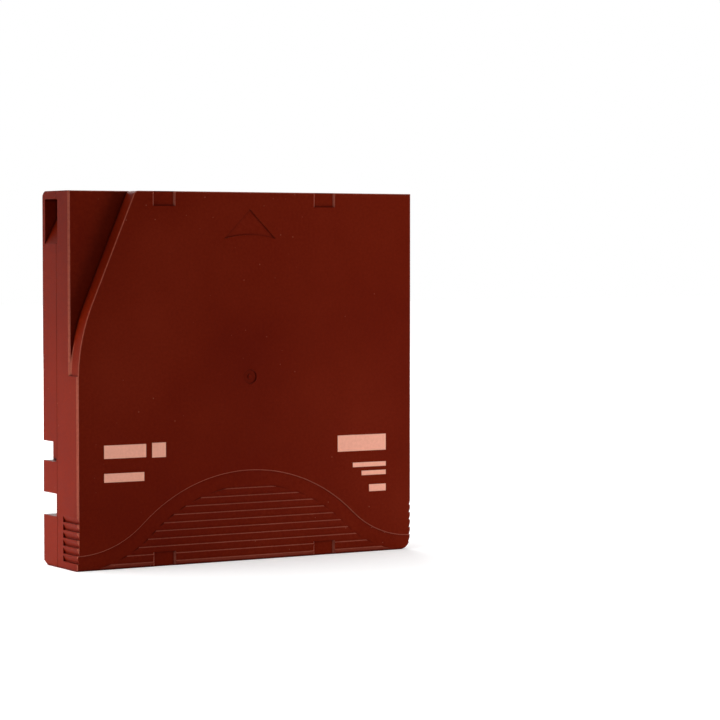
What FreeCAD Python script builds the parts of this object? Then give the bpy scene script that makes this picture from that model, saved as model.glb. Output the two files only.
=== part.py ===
"""Half-inch data tape cartridge: two moulded shells round a single reel with a brake.

Every piece is modelled lying flat in the cartridge's own way of use: X across the width,
Y towards the end that enters the drive, Z up from the bottom face to the top face. Its
Placement then stands the cartridge up on its rear end, with the top face towards -Y.
"""
import FreeCAD, Part
import math
import os
import Sketcher

Vector = FreeCAD.Vector

# Driving dimensions in millimetres, angles in degrees, and counts.
DIMENSIONS = [
    # Case
    ("case_width", 105.4),
    ("case_length", 102.0),
    ("case_thickness", 21.5),
    ("lower_thickness", 8.85),      # bottom face to the plane where the shells part
    ("wall", 2.0),                  # side walls
    ("skin", 2.0),                  # floor and ceiling
    ("corner_radius", 3.2),         # rear right corner, seen from the top
    ("right_round", 0.6),           # long edge of the top face on the right
    ("left_bevel", 0.5),            # long edge of the top face on the left
    ("edge_round", 0.4),            # the other edges of the top face
    ("bottom_bevel_front", 1.3),    # length of the rounded lead-in under the front end
    ("bottom_bevel_round", 2.6),    # its radius
    ("bottom_bevel_rear", 1.2),     # length of the plain bevel under the rear end
    ("bottom_bevel_rise", 2.5),     # height of both
    ("seam", 0.15),                 # groove round the case where the shells meet
    ("fit", 0.15),                  # gap between pieces that slide in each other
    ("seat", 0.1),                  # gap under a piece that only rests in its place
    ("overcut", 1.0),               # how far cutting shapes reach past the outer faces
    # Insertion guide: the stepped corner that keys the cartridge in the drive
    ("guide_depth", 5.0),
    ("guide_margin", 4.1),          # reel's flange to the step, which is concentric with it
    ("guide_front", 35.2),          # step to centre line along the front edge
    ("guide_run_out", 1.3),         # reel's axis to where the step runs out
    ("guide_nose", 1.5),            # rounding where the step meets the front end
    # Grip field on the top face and grip steps on the sides
    ("bell_peak", 25.0),
    ("bell_radius", 48.0),
    ("bell_side", 4.0),             # height of the bell's outline at the case's sides
    ("bell_step", 0.3),
    ("bell_bevel", 0.25),
    ("rib_margin", 4.1),            # bell outline to the ribs' ends
    ("rib_first", 1.2),             # rear end to the crest of the first rib
    ("rib_pitch", 2.1),
    ("rib_count", 10),
    ("rib_height", 0.27),
    ("rib_flank", 0.25),            # steep side of each rib, towards the front
    ("rib_flat", 0.7),              # level part between two ribs
    ("side_grip_first", 2.05),
    ("side_grip_pitch", 2.13),
    ("side_grip_count", 6),
    ("side_grip_depth", 0.6),
    ("side_grip_flat", 0.3),
    ("side_grip_ramp", 1.4),
    ("side_grip_low", 12.4),        # bottom end of the side grip steps
    # Marks moulded in the top face
    ("arrow_inset", 4.75),          # front end to the arrow's tip
    ("arrow_length", 8.15),
    ("arrow_half", 8.1),
    ("arrow_sag", 1.1),
    ("mark_depth", 0.25),
    ("gate_ring", 2.0),
    ("gate_pip", 0.6),
    ("edge_pocket_x", 25.2),        # half the distance between the pockets
    ("edge_pocket_shift", -1.3),    # from the centre line to the middle between them
    ("edge_pocket_width", 6.9),
    ("edge_pocket_length", 4.0),
    ("edge_pocket_depth", 0.5),
    ("edge_pocket_slope", 0.5),     # width of their slanted sides
    # Notches in the sides of the lower shell, where loaders hold the cartridge
    ("notch_low_rear", 13.8),
    ("notch_low_front", 20.0),
    ("notch_low_depth", 4.0),
    ("notch_high_rear", 28.65),
    ("notch_high_front", 34.05),
    ("notch_high_depth", 2.85),
    ("notch_ceiling", 8.3),
    ("notch_wall", 1.2),
    ("slot_inset", 2.2),            # front end to the ramped slot in the left side
    ("slot_length", 12.2),
    ("slot_ramp", 7.1),
    ("slot_depth", 3.7),
    ("slot_floor", 1.65),
    ("slot_ceiling", 9.6),
    # Label panel and the bosses for the four screws
    ("label_left_inset", 19.7),     # insets from the case's faces
    ("label_right_inset", 6.7),
    ("label_low_inset", 4.0),
    ("label_high_inset", 1.5),
    ("label_depth", 0.4),
    ("boss_radius", 2.6),
    ("screw_radius", 1.0),
    ("screw_head_radius", 1.9),
    ("screw_head_height", 1.2),
    ("screw_recess", 0.5),
    ("screw_length", 11.5),
    ("screw_slot", 0.7),
    ("screw_slot_length", 2.6),
    ("screw_slot_depth", 0.6),
    ("thread_gap", 0.04),
    ("screw_gap", 0.2),
    ("screw_rear_left_x", 5.1),     # insets from the case's sides and ends
    ("screw_rear_left_y", 10.4),
    ("screw_rear_right_x", 7.2),
    ("screw_rear_right_y", 7.5),
    ("screw_front_left_x", 9.2),
    ("screw_front_left_y", 6.5),
    ("screw_front_right_x", 6.4),
    ("screw_front_right_y", 4.7),
    ("reel_wall_gap", 1.3),         # flange to the curved ribs in the case's corners
    ("reel_wall_thickness", 1.0),
    ("reel_wall_angle", 18.0),      # half the angle of each rib
    # Reel
    ("reel_side_gap", 2.4),         # flange to the inside of the side walls
    ("reel_end_gap", 0.7),          # flange to the inside of the end walls
    ("reel_drop", 0.9),             # floor to the lower flange
    ("reel_top_gap", 1.55),         # upper flange to the ceiling
    ("flange_thickness", 1.1),
    ("tape_clearance", 0.1),
    ("tape_margin", 1.4),           # flange's rim to the outermost turn
    ("tape_seat", 0.05),
    ("hub_margin", 3.8),            # hub opening to the outside of the hub
    ("hub_wall", 2.2),
    ("hub_lip", 0.6),
    ("hub_floor", 2.0),
    ("hub_opening", 18.2),
    ("hub_rim", 1.2),               # wall of the low rim round the opening
    ("drive_boss_gap", 0.7),        # hub opening to the boss that carries the teeth
    ("drive_root", 2.4),            # bottom face to the roots of the drive teeth
    ("drive_tooth_height", 1.0),
    ("drive_tooth_width", 1.2),
    ("drive_tooth_inset", 0.4),
    ("drive_tooth_length", 4.2),
    ("drive_tooth_count", 60),
    ("clutch_gap", 0.7),            # drive teeth to the clutch plate
    ("clutch_inner", 5.0),
    ("clutch_thickness", 0.8),
    ("clutch_recess", 0.5),
    ("clutch_rivet", 1.1),
    # Reel brake
    ("foot_radius", 1.6),
    ("foot_gap", 0.2),
    ("foot_inset", 0.3),            # feet end this far above the tips of the drive teeth
    ("spider_thickness", 1.0),
    ("spider_arm", 4.4),
    ("spider_centre", 5.5),
    ("brake_gap", 2.4),             # inside of the hub to the brake teeth
    ("brake_rim", 0.3),
    ("brake_tooth_length", 3.8),
    ("brake_pad_height", 1.0),
    ("brake_tooth_height", 0.9),
    ("brake_tooth_width", 1.4),
    ("brake_tooth_count", 36),
    ("brake_tooth_gap", 0.3),
    ("brake_plate", 1.2),
    ("brake_socket_radius", 6.2),
    ("brake_socket_height", 5.5),
    ("brake_socket_floor", 0.6),
    ("brake_pip", 2.5),
    ("brake_travel", 1.5),
    ("post_span", 8.0),
    ("post_web", 2.0),
    ("post_end_gap", 0.4),
    ("brake_spring_radius", 7.6),
    ("brake_spring_wire", 0.7),
    ("brake_spring_turns", 4),
    ("brake_spring_sides", 16),     # straight chords in each turn
    ("spring_ring_wall", 0.9),
    ("spring_ring_height", 1.2),
    # Access door and its spring
    ("door_thickness", 1.2),
    ("door_inset", 2.7),            # front end to the door
    ("door_length", 20.3),
    ("door_tab_length", 2.0),
    ("door_tab_reach", 1.7),
    ("door_tab_margin", 1.0),
    ("window_inset", 3.4),
    ("window_length", 18.6),
    ("track_length", 37.3),
    ("track_rib", 0.9),
    ("track_height", 1.6),
    ("door_spring_radius", 0.75),
    ("door_spring_wire", 0.4),
    ("door_spring_length", 41.0),
    ("door_spring_height", 13.0),
    ("door_spring_turns", 18),
    ("door_spring_sides", 8),
    ("door_guide", 4.0),            # pin on the door inside the spring's end
    ("spring_stop", 1.5),
    # Leader pin, its clip, its leaf spring and the leader tape
    ("pin_side_inset", 10.7),
    ("pin_front_inset", 11.0),
    ("pin_radius", 1.2),
    ("pin_flange_radius", 1.9),
    ("pin_flange", 0.7),
    ("pin_end_radius", 1.6),
    ("pin_end_gap", 0.3),
    ("pin_seat_height", 1.1),
    ("pin_seat_wall", 1.4),
    ("clip_wall", 0.5),
    ("clip_gap", 0.6),
    ("clip_margin", 0.7),
    ("leader_thickness", 0.12),
    ("leaf_thickness", 0.25),
    ("leaf_arm", 0.8),
    ("leaf_base", 5.5),             # length of its foot along the front wall
    ("leaf_reach", 2.2),            # how far its arms pass the pin's axis
    ("leaf_block", 1.0),
    # Write-protect switch
    ("switch_window_inset", 5.2),
    ("switch_window_width", 10.0),
    ("switch_window_low", 5.0),
    ("switch_window_high", 12.7),
    ("switch_nib", 5.4),
    ("switch_overlap", 3.0),
    ("switch_thickness", 2.0),
    ("switch_inset", 0.6),
    ("switch_groove", 0.4),
    ("switch_lip", 1.0),
    ("switch_rail", 1.0),
    ("switch_rail_length", 16.7),
    # Cartridge memory
    ("board_gap", 3.0),             # rib round the reel to the board
    ("board_width", 13.0),
    ("board_height", 11.0),
    ("board_thickness", 0.8),
    ("board_post", 2.6),
    ("board_slot_depth", 1.0),
    ("chip_size", 4.0),
    ("chip_thickness", 0.7),
]

doc = FreeCAD.newDocument("tape_cartridge")


def make_sheet():
    """Spreadsheet that drives every sketch and feature."""
    sheet = doc.addObject("Spreadsheet::Sheet", "dims")
    for row, (alias, number) in enumerate(DIMENSIONS, start=1):
        sheet.set(f"A{row}", alias)
        sheet.set(f"B{row}", str(number))
        sheet.setAlias(f"B{row}", alias)
    doc.recompute()
    return sheet


dims = make_sheet()


def value(expression):
    """Number that an expression on the sheet gives."""
    result = dims.evalExpression(expression.replace("dims.", ""))
    return float(getattr(result, "Value", result))


# Outlines, each given by expressions on the sheet

def pin_point(sketch, curve, end, x, y):
    """Fixes a point of a sketch curve at two expressions."""
    for kind, expression in (("DistanceX", x), ("DistanceY", y)):
        index = sketch.addConstraint(
            Sketcher.Constraint(kind, -1, 1, curve, end, value(expression))
        )
        sketch.renameConstraint(index, f"{kind}_{index}")
        sketch.setExpression(f".Constraints.{kind}_{index}", expression)


def pin_radius(sketch, curve, radius):
    """Ties the radius of a circle or an arc to an expression."""
    index = sketch.addConstraint(Sketcher.Constraint("Radius", curve, value(radius)))
    sketch.renameConstraint(index, f"Radius_{index}")
    sketch.setExpression(f".Constraints.Radius_{index}", radius)


def arc_between(start, end, radius, clockwise):
    """Minor arc of a given radius between two points."""
    chord = end - start
    rise = math.sqrt(max(radius ** 2 - chord.Length ** 2 / 4, 0.0))
    left = Vector(-chord.y, chord.x, 0) / chord.Length
    centre = (start + end) / 2 + left * (-rise if clockwise else rise)
    first, last = (end, start) if clockwise else (start, end)
    angles = [math.atan2(p.y - centre.y, p.x - centre.x) for p in (first, last)]
    return Part.ArcOfCircle(Part.Circle(centre, Vector(0, 0, 1), radius), *angles)


def path(points, arcs=None):
    """Closed outline; arcs maps a side's number to (radius, "left" or "right" turn)."""
    arcs = arcs or {}

    def draw(sketch):
        corners = [Vector(value(x), value(y), 0) for x, y in points]
        ends = []
        for number, start in enumerate(corners):
            end = corners[(number + 1) % len(corners)]
            if number in arcs:
                radius, turn = arcs[number]
                curve = arc_between(start, end, value(radius), turn == "right")
                ends.append((2, 1) if turn == "right" else (1, 2))
            else:
                curve = Part.LineSegment(start, end)
                ends.append((1, 2))
            ends[-1] = (sketch.addGeometry(curve),) + ends[-1]
        for number, (curve, first, last) in enumerate(ends):
            after, after_first, _ = ends[(number + 1) % len(ends)]
            sketch.addConstraint(
                Sketcher.Constraint("Coincident", curve, last, after, after_first)
            )
        for number, (curve, first, last) in enumerate(ends):
            pin_point(sketch, curve, first, *points[number])
            if number in arcs:
                pin_radius(sketch, curve, arcs[number][0])

    return draw


def rectangle(left, right, low, high):
    """Rectangle between four expressions."""
    return path([(left, low), (right, low), (right, high), (left, high)])


def circle(x, y, radius):
    """Circle about a point."""
    def draw(sketch):
        curve = sketch.addGeometry(
            Part.Circle(Vector(value(x), value(y), 0), Vector(0, 0, 1), value(radius))
        )
        pin_point(sketch, curve, 3, x, y)
        pin_radius(sketch, curve, radius)

    return draw


def polar(radius, angle, y="0"):
    """Point at a radius and an angle about (0, y)."""
    return (f"({radius}) * cos({angle})", f"{y} + ({radius}) * sin({angle})")


def sector(inner, outer, middle, half, y="0"):
    """Piece of a ring that reaches half an angle to both sides of its middle."""
    first = f"{middle} - {half}"
    last = f"{middle} + {half}"
    corners = [polar(inner, first, y), polar(outer, first, y)]
    corners += [polar(outer, last, y), polar(inner, last, y)]
    return path(corners, {1: (outer, "left"), 3: (inner, "right")})


# Features, each between two heights along the normal of one of the body's own planes

def sketch_at(body, name, plane, height, shapes):
    """Sketch on an origin plane of a body, moved to a height along its axis."""
    sketch = body.newObject("Sketcher::SketchObject", name + "_outline")
    support = [f for f in body.Origin.OriginFeatures if f.Role == plane][0]
    sketch.AttachmentSupport = [(support, "")]
    sketch.MapMode = "FlatFace"
    sign = "-1 * " if plane == "XZ_Plane" else ""
    sketch.setExpression("AttachmentOffset.Base.z", f"{sign}({height})")
    for draw in shapes:
        draw(sketch)
    return sketch


def add(body, name, low, high, *shapes, plane="XY_Plane"):
    """Pad from low to high along the plane's axis."""
    start = high if plane == "XZ_Plane" else low
    feature = body.newObject("PartDesign::Pad", name)
    feature.Profile = sketch_at(body, name, plane, start, shapes)
    feature.setExpression("Length", f"({high}) - ({low})")
    return feature


def cut(body, name, low, high, *shapes, plane="XY_Plane"):
    """Pocket from low to high along the plane's axis."""
    start = low if plane == "XZ_Plane" else high
    feature = body.newObject("PartDesign::Pocket", name)
    feature.Profile = sketch_at(body, name, plane, start, shapes)
    feature.setExpression("Length", f"({high}) - ({low})")
    return feature


def revolve(body, name, *shapes):
    """Full turn about the body's Z axis of outlines in its XZ plane."""
    feature = body.newObject("PartDesign::Revolution", name)
    sketch = sketch_at(body, name, "XZ_Plane", "0", shapes)
    feature.Profile = sketch
    feature.ReferenceAxis = (sketch, ["V_Axis"])
    return feature


def repeat_round(body, name, originals, count):
    """Copies of features round the body's Z axis."""
    pattern = body.newObject("PartDesign::PolarPattern", name)
    pattern.Originals = originals
    axis = [f for f in body.Origin.OriginFeatures if f.Role == "Z_Axis"][0]
    pattern.Axis = (axis, [""])
    pattern.Angle = 360
    pattern.setExpression("Occurrences", count)
    body.Tip = pattern
    return pattern


def edges_like(shape, test):
    """Names of the edges whose bounding box passes a test."""
    return [
        f"Edge{number}"
        for number, edge in enumerate(shape.Edges, start=1)
        if test(edge.BoundBox)
    ]


def near(first, second):
    """True where two lengths agree."""
    return abs(first - second) < 0.01


def round_edges(body, name, base, test, radius):
    """Fillet on the edges of a feature that pass a test."""
    doc.recompute()
    fillet = body.newObject("PartDesign::Fillet", name)
    fillet.Base = (base, edges_like(base.Shape, test))
    fillet.setExpression("Radius", radius)
    return fillet


def new_body(label):
    """Empty body with a label of its own."""
    body = doc.addObject("PartDesign::Body", label)
    body.Label = label
    return body


def stand_up(piece, x="0", y="0", z="0"):
    """Stands a piece up on the cartridge's rear end; x, y and z place its origin while flat."""
    turn = FreeCAD.Rotation(Vector(1, 0, 0), 90)
    piece.Placement = FreeCAD.Placement(Vector(0, 0, 0), turn)
    piece.setExpression("Placement.Base.x", x)
    piece.setExpression("Placement.Base.y", f"dims.case_thickness / 2 - ({z})")
    piece.setExpression("Placement.Base.z", y)


# Expressions that several pieces share

HALF = "dims.case_width / 2"
LENGTH = "dims.case_length"
TOP = "dims.case_thickness"
PARTING = "dims.lower_thickness"
CEILING = "dims.case_thickness - dims.skin"
CENTRE = "dims.case_length / 2"
BELL_FLOOR = "dims.case_thickness - dims.bell_step"
GUIDE_FLOOR = "dims.case_thickness - dims.guide_depth"
GUIDE_CEILING = f"{GUIDE_FLOOR} - dims.skin"
FLANGE_LOW = "dims.skin + dims.reel_drop"
FLANGE_HIGH = f"{CEILING} - dims.reel_top_gap - dims.flange_thickness"
FLANGE_RADIUS = (
    f"min({HALF} - dims.wall - dims.reel_side_gap; {CENTRE} - dims.wall - dims.reel_end_gap)"
)
TAPE_LOW = f"{FLANGE_LOW} + dims.flange_thickness + dims.tape_clearance"
TAPE_HIGH = f"{FLANGE_HIGH} - dims.tape_clearance"
TAPE_RADIUS = f"({FLANGE_RADIUS} - dims.tape_margin)"
HUB_RADIUS = "(dims.hub_opening + dims.hub_margin)"
HUB_INSIDE = f"({HUB_RADIUS} - dims.hub_wall)"
HUB_FLOOR_TOP = "dims.drive_root + dims.hub_floor"
DRIVE_TIP = "dims.drive_root - dims.drive_tooth_height"
DRIVE_BOSS = "(dims.hub_opening - dims.drive_boss_gap)"
DRIVE_OUTER = f"({DRIVE_BOSS} - dims.drive_tooth_inset)"
DRIVE_INNER = f"({DRIVE_OUTER} - dims.drive_tooth_length)"
CLUTCH_OUTER = f"({DRIVE_INNER} - dims.clutch_gap)"
FOOT_CIRCLE = f"({DRIVE_INNER} + {DRIVE_OUTER}) / 2"
SPIDER_LOW = f"{HUB_FLOOR_TOP} + dims.seat"
SPIDER_HIGH = f"{SPIDER_LOW} + dims.spider_thickness"
BRAKE_OUTER = f"({HUB_INSIDE} - dims.brake_gap)"
BRAKE_INNER = f"({BRAKE_OUTER} - dims.brake_tooth_length)"
BRAKE_PAD = f"{HUB_FLOOR_TOP} + dims.brake_pad_height"
BRAKE_LOW = f"{BRAKE_PAD} + dims.brake_tooth_height + dims.brake_tooth_gap"
BRAKE_HIGH = f"{BRAKE_LOW} + dims.brake_plate"
SOCKET_FLOOR = f"{BRAKE_HIGH} + dims.brake_socket_floor"
POST_END = f"{SOCKET_FLOOR} + dims.brake_travel + dims.post_end_gap"
SPRING_RING = "dims.brake_spring_radius + dims.brake_spring_wire / 2 + dims.fit"

SPRING_X = (
    f"{HALF} - dims.wall - dims.fit - dims.door_spring_radius - dims.door_spring_wire / 2"
)

DOOR_FRONT = f"{LENGTH} - dims.door_inset"
DOOR_REAR = f"{DOOR_FRONT} - dims.door_length"
SPRING_REAR = f"{DOOR_REAR} - dims.door_spring_length"
WINDOW_FRONT = f"{LENGTH} - dims.window_inset"
SWITCH_LEFT = f"dims.switch_window_inset - {HALF}"
SWITCH_RAIL_END = f"dims.wall + dims.switch_rail_length - {HALF}"

# The free tape leaves the wound pack along a tangent that runs to the leader pin.
PIN_X = f"({HALF} - dims.pin_side_inset)"
PIN_Y = f"({LENGTH} - dims.pin_front_inset)"
PIN_DISTANCE = f"sqrt({PIN_X}^2 + ({PIN_Y} - {CENTRE})^2)"
TANGENT_RADIUS = f"{TAPE_RADIUS} + dims.seat + dims.leader_thickness / 2"
TANGENT_ANGLE = (
    f"(atan2({PIN_Y} - {CENTRE}; {PIN_X}) + acos(({TANGENT_RADIUS}) / {PIN_DISTANCE}))"
)

SCREWS = [
    (f"dims.screw_rear_left_x - {HALF}", "dims.screw_rear_left_y"),
    (f"{HALF} - dims.screw_rear_right_x", "dims.screw_rear_right_y"),
    (f"dims.screw_front_left_x - {HALF}", f"{LENGTH} - dims.screw_front_left_y"),
    (f"{HALF} - dims.screw_front_right_x", f"{LENGTH} - dims.screw_front_right_y"),
]

# The guide's straight wall is tangent to its round one, which is concentric with the reel.
GUIDE_END = f"({CENTRE} + dims.guide_run_out)"
GUIDE_RADIUS = f"({FLANGE_RADIUS} + dims.guide_margin)"
GUIDE_ANGLE = (
    f"(atan2({LENGTH} - {CENTRE}; -dims.guide_front)"
    f" + acos({GUIDE_RADIUS} / sqrt(({LENGTH} - {CENTRE})^2 + dims.guide_front^2)))"
)


def guide_outline():
    """The stepped corner, seen from the top."""
    run_out = f"-sqrt({GUIDE_RADIUS}^2 - dims.guide_run_out^2)"
    return path(
        [
            (f"-{HALF}", GUIDE_END),
            (run_out, GUIDE_END),
            polar(GUIDE_RADIUS, GUIDE_ANGLE, CENTRE),
            ("-dims.guide_front", LENGTH),
            (f"-{HALF}", LENGTH),
        ],
        {1: (GUIDE_RADIUS, "right")},
    )


def upper_room_outline():
    """Room above the guide's floor level, one wall inside the case and the guide's step."""
    side = f"{HALF} - dims.wall"
    front = f"{LENGTH} - dims.wall"
    radius = f"{GUIDE_RADIUS} - dims.wall"
    behind = f"{GUIDE_END} - dims.wall"
    tangent_x, tangent_y = polar(radius, GUIDE_ANGLE, CENTRE)
    return path(
        [
            (f"-({side})", "dims.wall"),
            (side, "dims.wall"),
            (side, front),
            (f"{tangent_x} - ({front} - ({tangent_y})) * tan({GUIDE_ANGLE})", front),
            (tangent_x, tangent_y),
            (f"-sqrt(({radius})^2 - ({behind} - {CENTRE})^2)", behind),
            (f"-({side})", behind),
        ],
        {4: (radius, "left")},
    )


def case_outline(inset="0"):
    """Outline of both shells, with its one rounded corner, an inset inside the outer faces."""
    side = f"{HALF} - {inset}"
    front = f"{LENGTH} - {inset}"
    return path(
        [
            (f"-({side})", inset),
            (f"{HALF} - dims.corner_radius", inset),
            (side, "dims.corner_radius"),
            (side, front),
            (f"-({side})", front),
        ],
        {1: (f"dims.corner_radius - {inset}", "left")},
    )


def reel_walls():
    """Curved ribs that ring the reel in the three corners without the leader pin."""
    inner = f"{FLANGE_RADIUS} + dims.reel_wall_gap"
    outer = f"{inner} + dims.reel_wall_thickness"
    return [
        sector(inner, outer, middle, "dims.reel_wall_angle", CENTRE)
        for middle in ("135", "225", "315")
    ]


def bosses(radius):
    """Circles at the four screws."""
    return [circle(x, y, radius) for x, y in SCREWS]


def window_shape():
    """Window in the right side that the door closes."""
    rear = f"{WINDOW_FRONT} - dims.window_length"
    return rectangle(f"{HALF} - dims.wall", HALF, rear, WINDOW_FRONT)


def switch_window():
    """Window in the rear end for the write-protect switch."""
    return rectangle(SWITCH_LEFT, f"{SWITCH_LEFT} + dims.switch_window_width", "0", "dims.wall")


def label_outline(low, high):
    """Label panel on the rear end between two heights."""
    left = f"dims.label_left_inset - {HALF}"
    right = f"{HALF} - dims.label_right_inset"
    return rectangle(left, right, low, high)


def door_track():
    """Rib that the door slides behind."""
    face = f"{HALF} - dims.wall - dims.door_thickness - 2 * dims.fit"
    rear = f"{DOOR_FRONT} - dims.track_length"
    return rectangle(f"{face} - dims.track_rib", face, rear, DOOR_FRONT)


def add_pin_seat(shell, name, low, high):
    """Block round one end of the leader pin, open towards the window."""
    opening = "(dims.pin_end_radius + dims.fit)"
    reach = f"({opening} + dims.pin_seat_wall)"
    add(shell, name, low, high,
        rectangle(f"{PIN_X} - {reach}", f"{PIN_X} + {opening} / 2",
                  f"{PIN_Y} - {reach}", f"{PIN_Y} + {reach}"))
    cut(shell, name + "_round", low, high, circle(PIN_X, PIN_Y, opening))
    cut(shell, name + "_mouth", low, high,
        rectangle(PIN_X, f"{PIN_X} + {opening}",
                  f"{PIN_Y} - {opening}", f"{PIN_Y} + {opening}"))


# Upper shell

def bell_outline(margin):
    """Bell-shaped outline on the top face, a margin inside the moulded step."""
    peak = "(dims.bell_peak - dims.bell_radius)"
    rise = f"(dims.bell_side - {peak})"
    swing = (
        f"((({HALF})^2 + {rise}^2 - dims.bell_radius^2) / (2 * (dims.bell_radius - {rise})))"
    )
    angle = f"atan2({rise} + {swing}; {HALF})"
    crown = f"dims.bell_radius - {margin}"
    side = f"{swing} + {margin}"
    shoulder_x, shoulder_y = polar(crown, angle, peak)
    foot = f"dims.bell_side + {swing} - ({side})"
    outside = f"({HALF} + dims.overcut)"
    below = "-2 * dims.bell_side"
    return path(
        [
            (f"-{outside}", below),
            (outside, below),
            (outside, foot),
            (HALF, foot),
            (shoulder_x, shoulder_y),
            (f"-({shoulder_x})", shoulder_y),
            (f"-{HALF}", foot),
            (f"-{outside}", foot),
        ],
        {3: (side, "right"), 4: (crown, "left"), 5: (side, "right")},
    )


def cut_bell_field(shell):
    """Recess of the grip field, with its bevelled edge."""
    field = cut(shell, "bell_field", BELL_FLOOR, TOP, bell_outline("0"))
    doc.recompute()
    low, high = value("dims.bell_side"), value("dims.bell_peak")
    bevel = shell.newObject("PartDesign::Chamfer", "bell_edge")
    bevel.Base = (field, edges_like(
        field.Shape,
        lambda box: near(box.ZMin, value(TOP)) and low - 0.1 < box.YMin and box.YMax < high + 0.1,
    ))
    bevel.setExpression("Size", "dims.bell_bevel")
    return bevel


def make_grip_ribs():
    """Ribs across the grip field, steep towards the front and trimmed to the bell."""
    ridges = new_body("grip_ridges")
    ramp = "(dims.rib_pitch - dims.rib_flat - dims.rib_flank)"
    buried = f"{BELL_FLOOR} - dims.rib_height"
    ribs = []
    for number in range(int(value("dims.rib_count"))):
        crest = f"dims.rib_first + {number} * dims.rib_pitch"
        foot = f"max({crest} - {ramp}; dims.edge_round + dims.seat)"
        ribs.append(path([
            (foot, buried), (foot, BELL_FLOOR), (crest, f"{BELL_FLOOR} + dims.rib_height"),
            (f"{crest} + dims.rib_flank", BELL_FLOOR), (f"{crest} + dims.rib_flank", buried),
        ]))
    add(ridges, "ridges", f"-{HALF}", HALF, *ribs, plane="YZ_Plane")
    bell = new_body("grip_bell")
    add(bell, "grip_prism", f"{BELL_FLOOR} - dims.overcut", f"{TOP} + dims.overcut",
        bell_outline("dims.rib_margin"))
    common = doc.addObject("Part::Common", "grip_ribs")
    common.Base = ridges
    common.Tool = bell
    return common


def arrow_outline():
    """Direction arrow with its hollow base."""
    bow = "(dims.arrow_half^2 + dims.arrow_sag^2) / (2 * dims.arrow_sag)"
    tip = f"{LENGTH} - dims.arrow_inset"
    base = f"{tip} - dims.arrow_length"
    return path(
        [("-dims.arrow_half", base), ("dims.arrow_half", base), ("0", tip)],
        {0: (bow, "right")},
    )


def make_edge_pockets():
    """Tool for four shallow pockets with slanted sides, at the ends of the top face."""
    pockets = new_body("edge_pockets")
    half = "dims.edge_pocket_width / 2"
    above = f"{TOP} + dims.overcut"
    front = f"{LENGTH} - dims.edge_pocket_length"
    for name, surface, low, high in (
        ("rear", BELL_FLOOR, "-dims.overcut", "dims.edge_pocket_length"),
        ("front", TOP, front, f"{LENGTH} + dims.overcut"),
    ):
        floor = f"{surface} - dims.edge_pocket_depth"
        shapes = []
        for side in ("-1", "1"):
            middle = f"dims.edge_pocket_shift + {side} * dims.edge_pocket_x"
            left = f"{middle} - {half}"
            right = f"{middle} + {half}"
            shapes.append(path([
                (left, surface), (f"{left} + dims.edge_pocket_slope", floor),
                (f"{right} - dims.edge_pocket_slope", floor), (right, surface),
                (right, above), (left, above),
            ]))
        add(pockets, f"{name}_pockets", low, high, *shapes, plane="XZ_Plane")
    return pockets


def saw_teeth(side):
    """Steps in one long side, each a drop, a level root and a ramp back to the surface."""
    surface = f"{side} * {HALF}"
    root = f"{side} * ({HALF} - dims.side_grip_depth)"
    outside = f"{side} * ({HALF} + dims.overcut)"
    shapes = []
    for number in range(int(value("dims.side_grip_count"))):
        start = f"dims.side_grip_first + {number} * dims.side_grip_pitch"
        foot = f"{start} + dims.side_grip_flat"
        end = f"{foot} + dims.side_grip_ramp"
        shapes.append(path([
            (outside, start), (root, start), (root, foot), (surface, end), (outside, end),
        ]))
    return shapes


def cross(span, web):
    """Plus-shaped outline about the origin of a body."""
    arm = f"({span}) / 2"
    half = f"({web}) / 2"
    quarter = [(half, arm), (half, half), (arm, half)]
    points = []
    for sign_x, sign_y in (("", ""), ("", "-"), ("-", "-"), ("-", "")):
        corner = [(f"{sign_x}({x})", f"{sign_y}({y})") for x, y in quarter]
        points += corner if sign_x == sign_y else corner[::-1]
    return points


def bevel_left_side(shell):
    """Bevels along the left side, at the top face and at the guide's floor."""
    corner = f"-({HALF} + dims.overcut)"
    reach = "dims.left_bevel + dims.overcut"
    front = f"{LENGTH} + dims.overcut"
    for name, rear, level in (("top", "-dims.overcut", TOP), ("guide", GUIDE_END, GUIDE_FLOOR)):
        above = f"{level} + dims.overcut"
        below = f"{level} - ({reach})"
        bevel = path([(corner, below), (f"{reach} - {HALF}", above), (corner, above)])
        last = cut(shell, f"{name}_bevel", rear, front, bevel, plane="XZ_Plane")
    return last


def round_right_side(shell):
    """Round along the right edge of the top face."""
    right = f"{HALF} - dims.right_round"
    high = f"{TOP} - dims.right_round"
    outside = f"{HALF} + dims.overcut"
    above = f"{TOP} + dims.overcut"
    corners = [(HALF, high), (right, TOP), (right, above), (outside, above), (outside, high)]
    cut(shell, "right_round", "-dims.overcut", f"{LENGTH} + dims.overcut",
        path(corners, {0: ("dims.right_round", "left")}), plane="XZ_Plane")


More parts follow.
